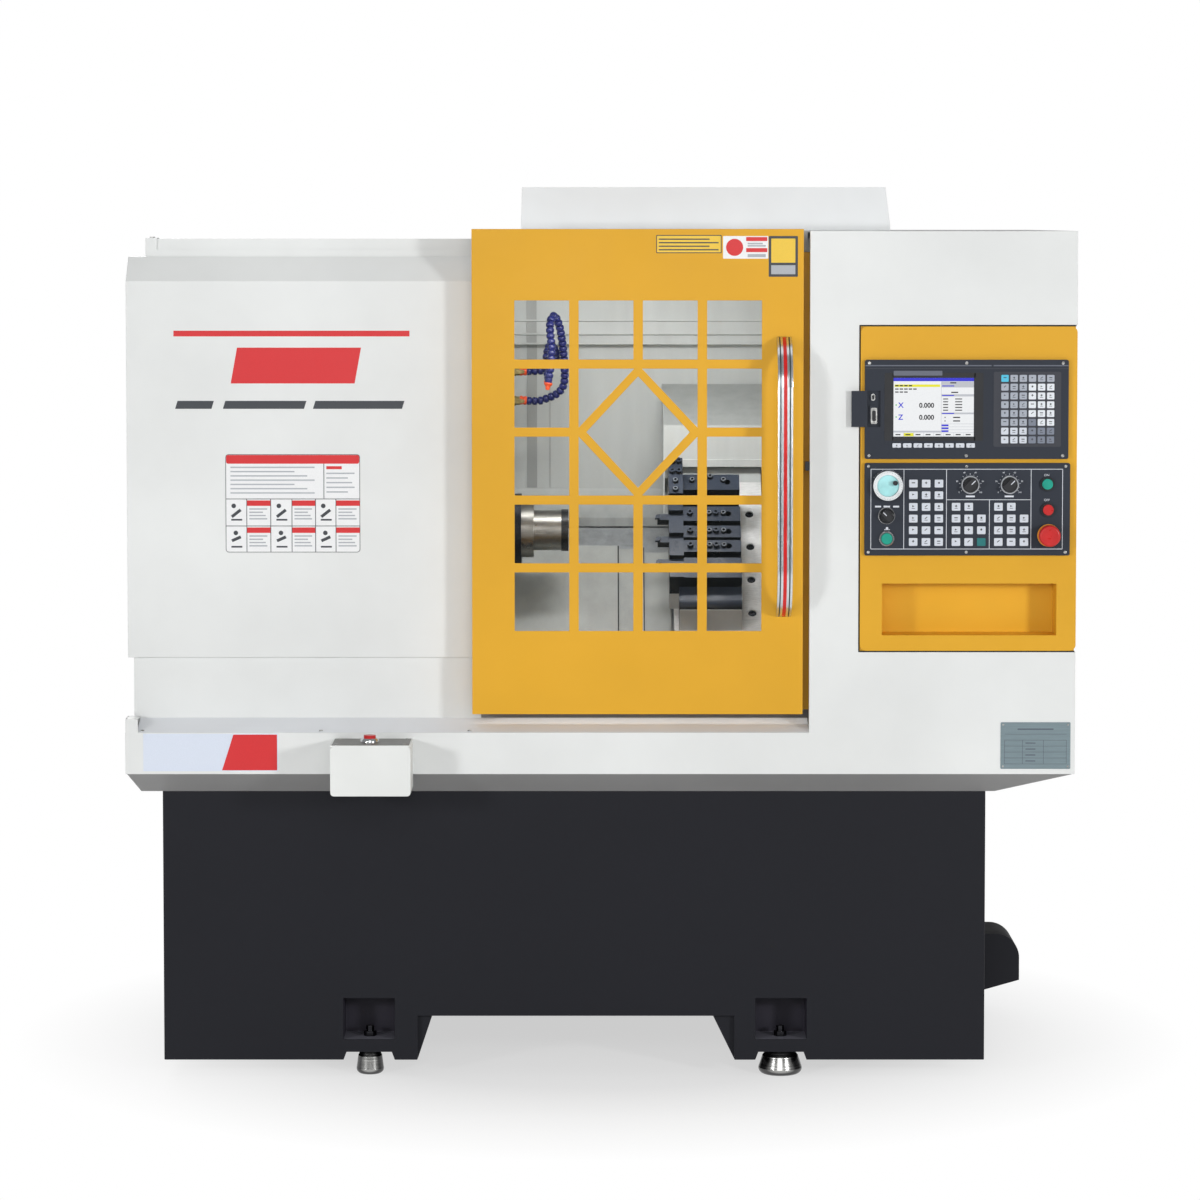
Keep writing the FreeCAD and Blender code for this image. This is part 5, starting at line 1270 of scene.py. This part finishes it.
LOWER_HOSE = [(-157, 600, 1354), (-133, 600, 1352), (-113, 598, 1359), (-92, 593, 1368),
              (-78, 587, 1384), (-75, 580, 1406), (-76, 571, 1433), (-78, 561, 1464),
              (-82, 549, 1494), (-87, 537, 1520), (-96, 523, 1539), (-105, 509, 1529),
              (-106, 499, 1504), (-102, 491, 1474), (-103, 485, 1445), (-106, 481, 1420),
              (-108, 479, 1405)]
UPPER_HOSE = [(-157, 600, 1417), (-133, 600, 1417), (-112, 597, 1422), (-97, 591, 1436),
              (-93, 583, 1454), (-98, 569, 1469), (-106, 555, 1474), (-112, 544, 1462),
              (-114, 535, 1441), (-112, 531, 1424), (-111, 529, 1408)]
SEGMENT = 12.4             # from one hose joint to the next
HOSE_RADIUS = 8.9
CUP = in_parts(HOSE_RADIUS, 1, (0.52, -2.2), (0.66, -1.2), (0.74, 0.4), (0.96, 2.2), (1, 4.4),
               (0.98, 7.6), (0.9, 9.6), (0.8, 10.4), (0.6, 10.6))
NECK = [(4.4, -3), (7.4, -1), (7.8, 3), (7.2, 9), (5.8, 12)]
NOZZLE = [(6, 8), (9, 8.6), (9.3, 11), (7.6, 13.6), (5.4, 16), (4.2, 23), (2.4, 23.4), (2.2, 18)]
SOCKET = [(8, 0), (9.6, 0.6), (9.6, 5), (8.2, 6.4), (8.2, 8.4), (9.4, 9.8), (9.4, 13.6),
          (8.4, 15.4), (6, 15.6)]


def smooth_path(points, spacing):
    """Evenly spaced points and headings on a smooth curve through the given ones."""
    curve = bpy.data.curves.new("route", "CURVE")
    curve.dimensions = "3D"
    spline = curve.splines.new("NURBS")
    spline.points.add(len(points) - 1)
    for point, place in zip(spline.points, points):
        point.co = (*at(*place), 1)
    spline.order_u = 3
    spline.use_endpoint_u = True
    spline.resolution_u = 24
    item = bpy.data.objects.new("route", curve)
    mesh = bpy.data.meshes.new_from_object(item)
    trace = [vertex.co.copy() for vertex in mesh.vertices]
    bpy.data.objects.remove(item)
    bpy.data.curves.remove(curve)
    bpy.data.meshes.remove(mesh)
    lengths = [0]
    for one, two in zip(trace, trace[1:]):
        lengths.append(lengths[-1] + (two - one).length)
    count = round(lengths[-1] / (spacing * MM))
    places = []
    for k in range(count + 1):
        want = lengths[-1] * k / count
        index = min(len(trace) - 2, sum(value <= want for value in lengths) - 1)
        start, end = trace[index:index + 2]
        part = (want - lengths[index]) / (lengths[index + 1] - lengths[index])
        places.append((start.lerp(end, part), (end - start).normalized()))
    return places


def segmented_hoses():
    """Ball jointed coolant hoses: each segment is a cup that holds the next one's ball."""
    blue, orange = bmesh.new(), bmesh.new()
    for route in (LOWER_HOSE, UPPER_HOSE):
        places = smooth_path(route, SEGMENT)
        for place in places[:-1]:
            add_turned(blue, *place, CUP, 20)
        add_turned(blue, *places[-1], NECK, 20)
        add_turned(orange, *places[-1], NOZZLE, 20)
        start, heading = places[0]
        add_turned(orange, start - heading * 15 * MM, heading, SOCKET, 24)
    hoses = piece("hose_segments", blue, "frame", "hose_blue", smooth_under=34)
    piece("hose_ends", orange, "frame", "red_plastic",
          moulded("hose_orange", (222, 82, 42), 0.36), 34)
    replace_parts(hoses, "coolant_hoses")


VALVE_LEFT = -202
VALVE_STEM = -186
VALVE_DEPTH = 600
VALVE_HEIGHTS = (1354, 1417)
VALVE_BODY = [(13, 0), (13, 3), (10.6, 4), (10.6, 10), (12, 11), (12, 22), (10.4, 23),
              (10.4, 30.6), (6, 30.8)]
VALVE_GLAND = [(6.4, 0), (6.4, 8), (4.6, 9), (4.6, 16), (3.2, 17)]
VALVE_LEVER = [(-3, -5.5), (-3, 5.5), (22, 4.2), (25, 2), (25, -2), (22, -4.2)]


def hose_valves():
    """Brass stop valves on the spindle side wall: body, gland and lever."""
    form = bmesh.new()
    for height in VALVE_HEIGHTS:
        add_turned(form, at(VALVE_LEFT, VALVE_DEPTH, height), RIGHT, VALVE_BODY, 6)
        add_turned(form, at(VALVE_STEM, VALVE_DEPTH - 10, height), OUT, VALVE_GLAND, 20)
        add_prism(form, [(VALVE_STEM + x, height + z) for x, z in VALVE_LEVER],
                  VALVE_DEPTH - 30, VALVE_DEPTH - 26, upright)
    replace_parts(piece("hose_valves", form, "frame", "brass", smooth_under=34),
                "coolant_fittings")


segmented_hoses()
hose_valves()


# ---- floor, light and background

FLOOR_RADIUS = 7
AMBIENT = 0.27             # strength of the even light from all sides


def floor():
    """Pale floor that keeps the shadow near the machine and fades to plain white around it."""
    form = bmesh.new()
    bmesh.ops.create_circle(form, cap_ends=True, segments=96, radius=FLOOR_RADIUS)
    item = link(bpy.data.objects.new("floor", mesh_of("floor", form)))
    pale = Finish("floor_pale", 0.6, Base_Color=(0.86, 0.86, 0.86, 1), Specular_IOR_Level=0.15)
    reach = pale.node("VectorMath", "Value", pale.place, operation="LENGTH")
    ray = add_node(pale.tree, "LightPath").outputs
    seen = pale.math("MAXIMUM", ray["Is Camera Ray"], ray["Is Glossy Ray"])
    amount = pale.math("MULTIPLY", seen, pale.range(reach, 0.6, 1, 0.6, 1.25))
    white = pale.node("Emission", "Emission", Strength=1)
    nodes = pale.tree.nodes
    mix = pale.node("MixShader", "Shader", amount, nodes["Principled BSDF"].outputs["BSDF"], white)
    fill(pale.tree, nodes["Material Output"].inputs["Surface"], mix)
    item.data.materials.append(pale.material)


def world():
    """White where the camera sees it, directly or through a pane, and dimmer as a light."""
    studio = bpy.data.worlds.new("studio")
    bpy.context.scene.world = studio
    studio.use_nodes = True
    tree = studio.node_tree
    ray = add_node(tree, "LightPath").outputs
    seen = add_node(tree, "Math", ray["Is Camera Ray"], ray["Is Transmission Ray"],
                    operation="MAXIMUM")
    level = add_node(tree, "MapRange", seen.outputs["Value"], To_Min=AMBIENT, To_Max=1)
    background = tree.nodes["Background"]
    fill(tree, background.inputs["Color"], (1, 1, 1, 1))
    fill(tree, background.inputs["Strength"], level.outputs["Result"])


def soft_box(name, place, target, width, height, watts):
    data = bpy.data.lights.new(name, "AREA")
    data.shape = "RECTANGLE"
    data.size = width
    data.size_y = height
    data.energy = watts
    item = link(bpy.data.objects.new(name, data))
    item.location = place
    item.rotation_euler = (Vector(target) - Vector(place)).to_track_quat("-Z", "Y").to_euler()
    item.visible_camera = False


# Even front light, a low lamp on each side in front, softer ones above and behind, and the
# machine's own lamp: name, place and target in metres, width, height and watts.
LAMPS = (("front", (0, -5.6, 2.3), (0, -0.5, 1.05), 2.6, 2.2, 50),
         ("left", (-3.9, -5, 1.75), (0, -0.5, 1), 0.7, 0.7, 88),
         ("right", (3.9, -5, 1.75), (0, -0.5, 1), 0.6, 0.6, 112),
         ("top", (0, 0.2, 4.6), (0, 0, 0), 4, 3, 30),
         ("rear", (-2.4, 4.8, 2.8), (0, 0.5, 1), 2.6, 2.2, 80),
         ("work_light", (0.07, -0.36, 1.6), (0.03, 0.05, 1.05), 0.44, 0.08, 2.9))

floor()
world()
for lamp in LAMPS:
    soft_box(*lamp)

scene = bpy.context.scene
scene.view_settings.view_transform = "Standard"
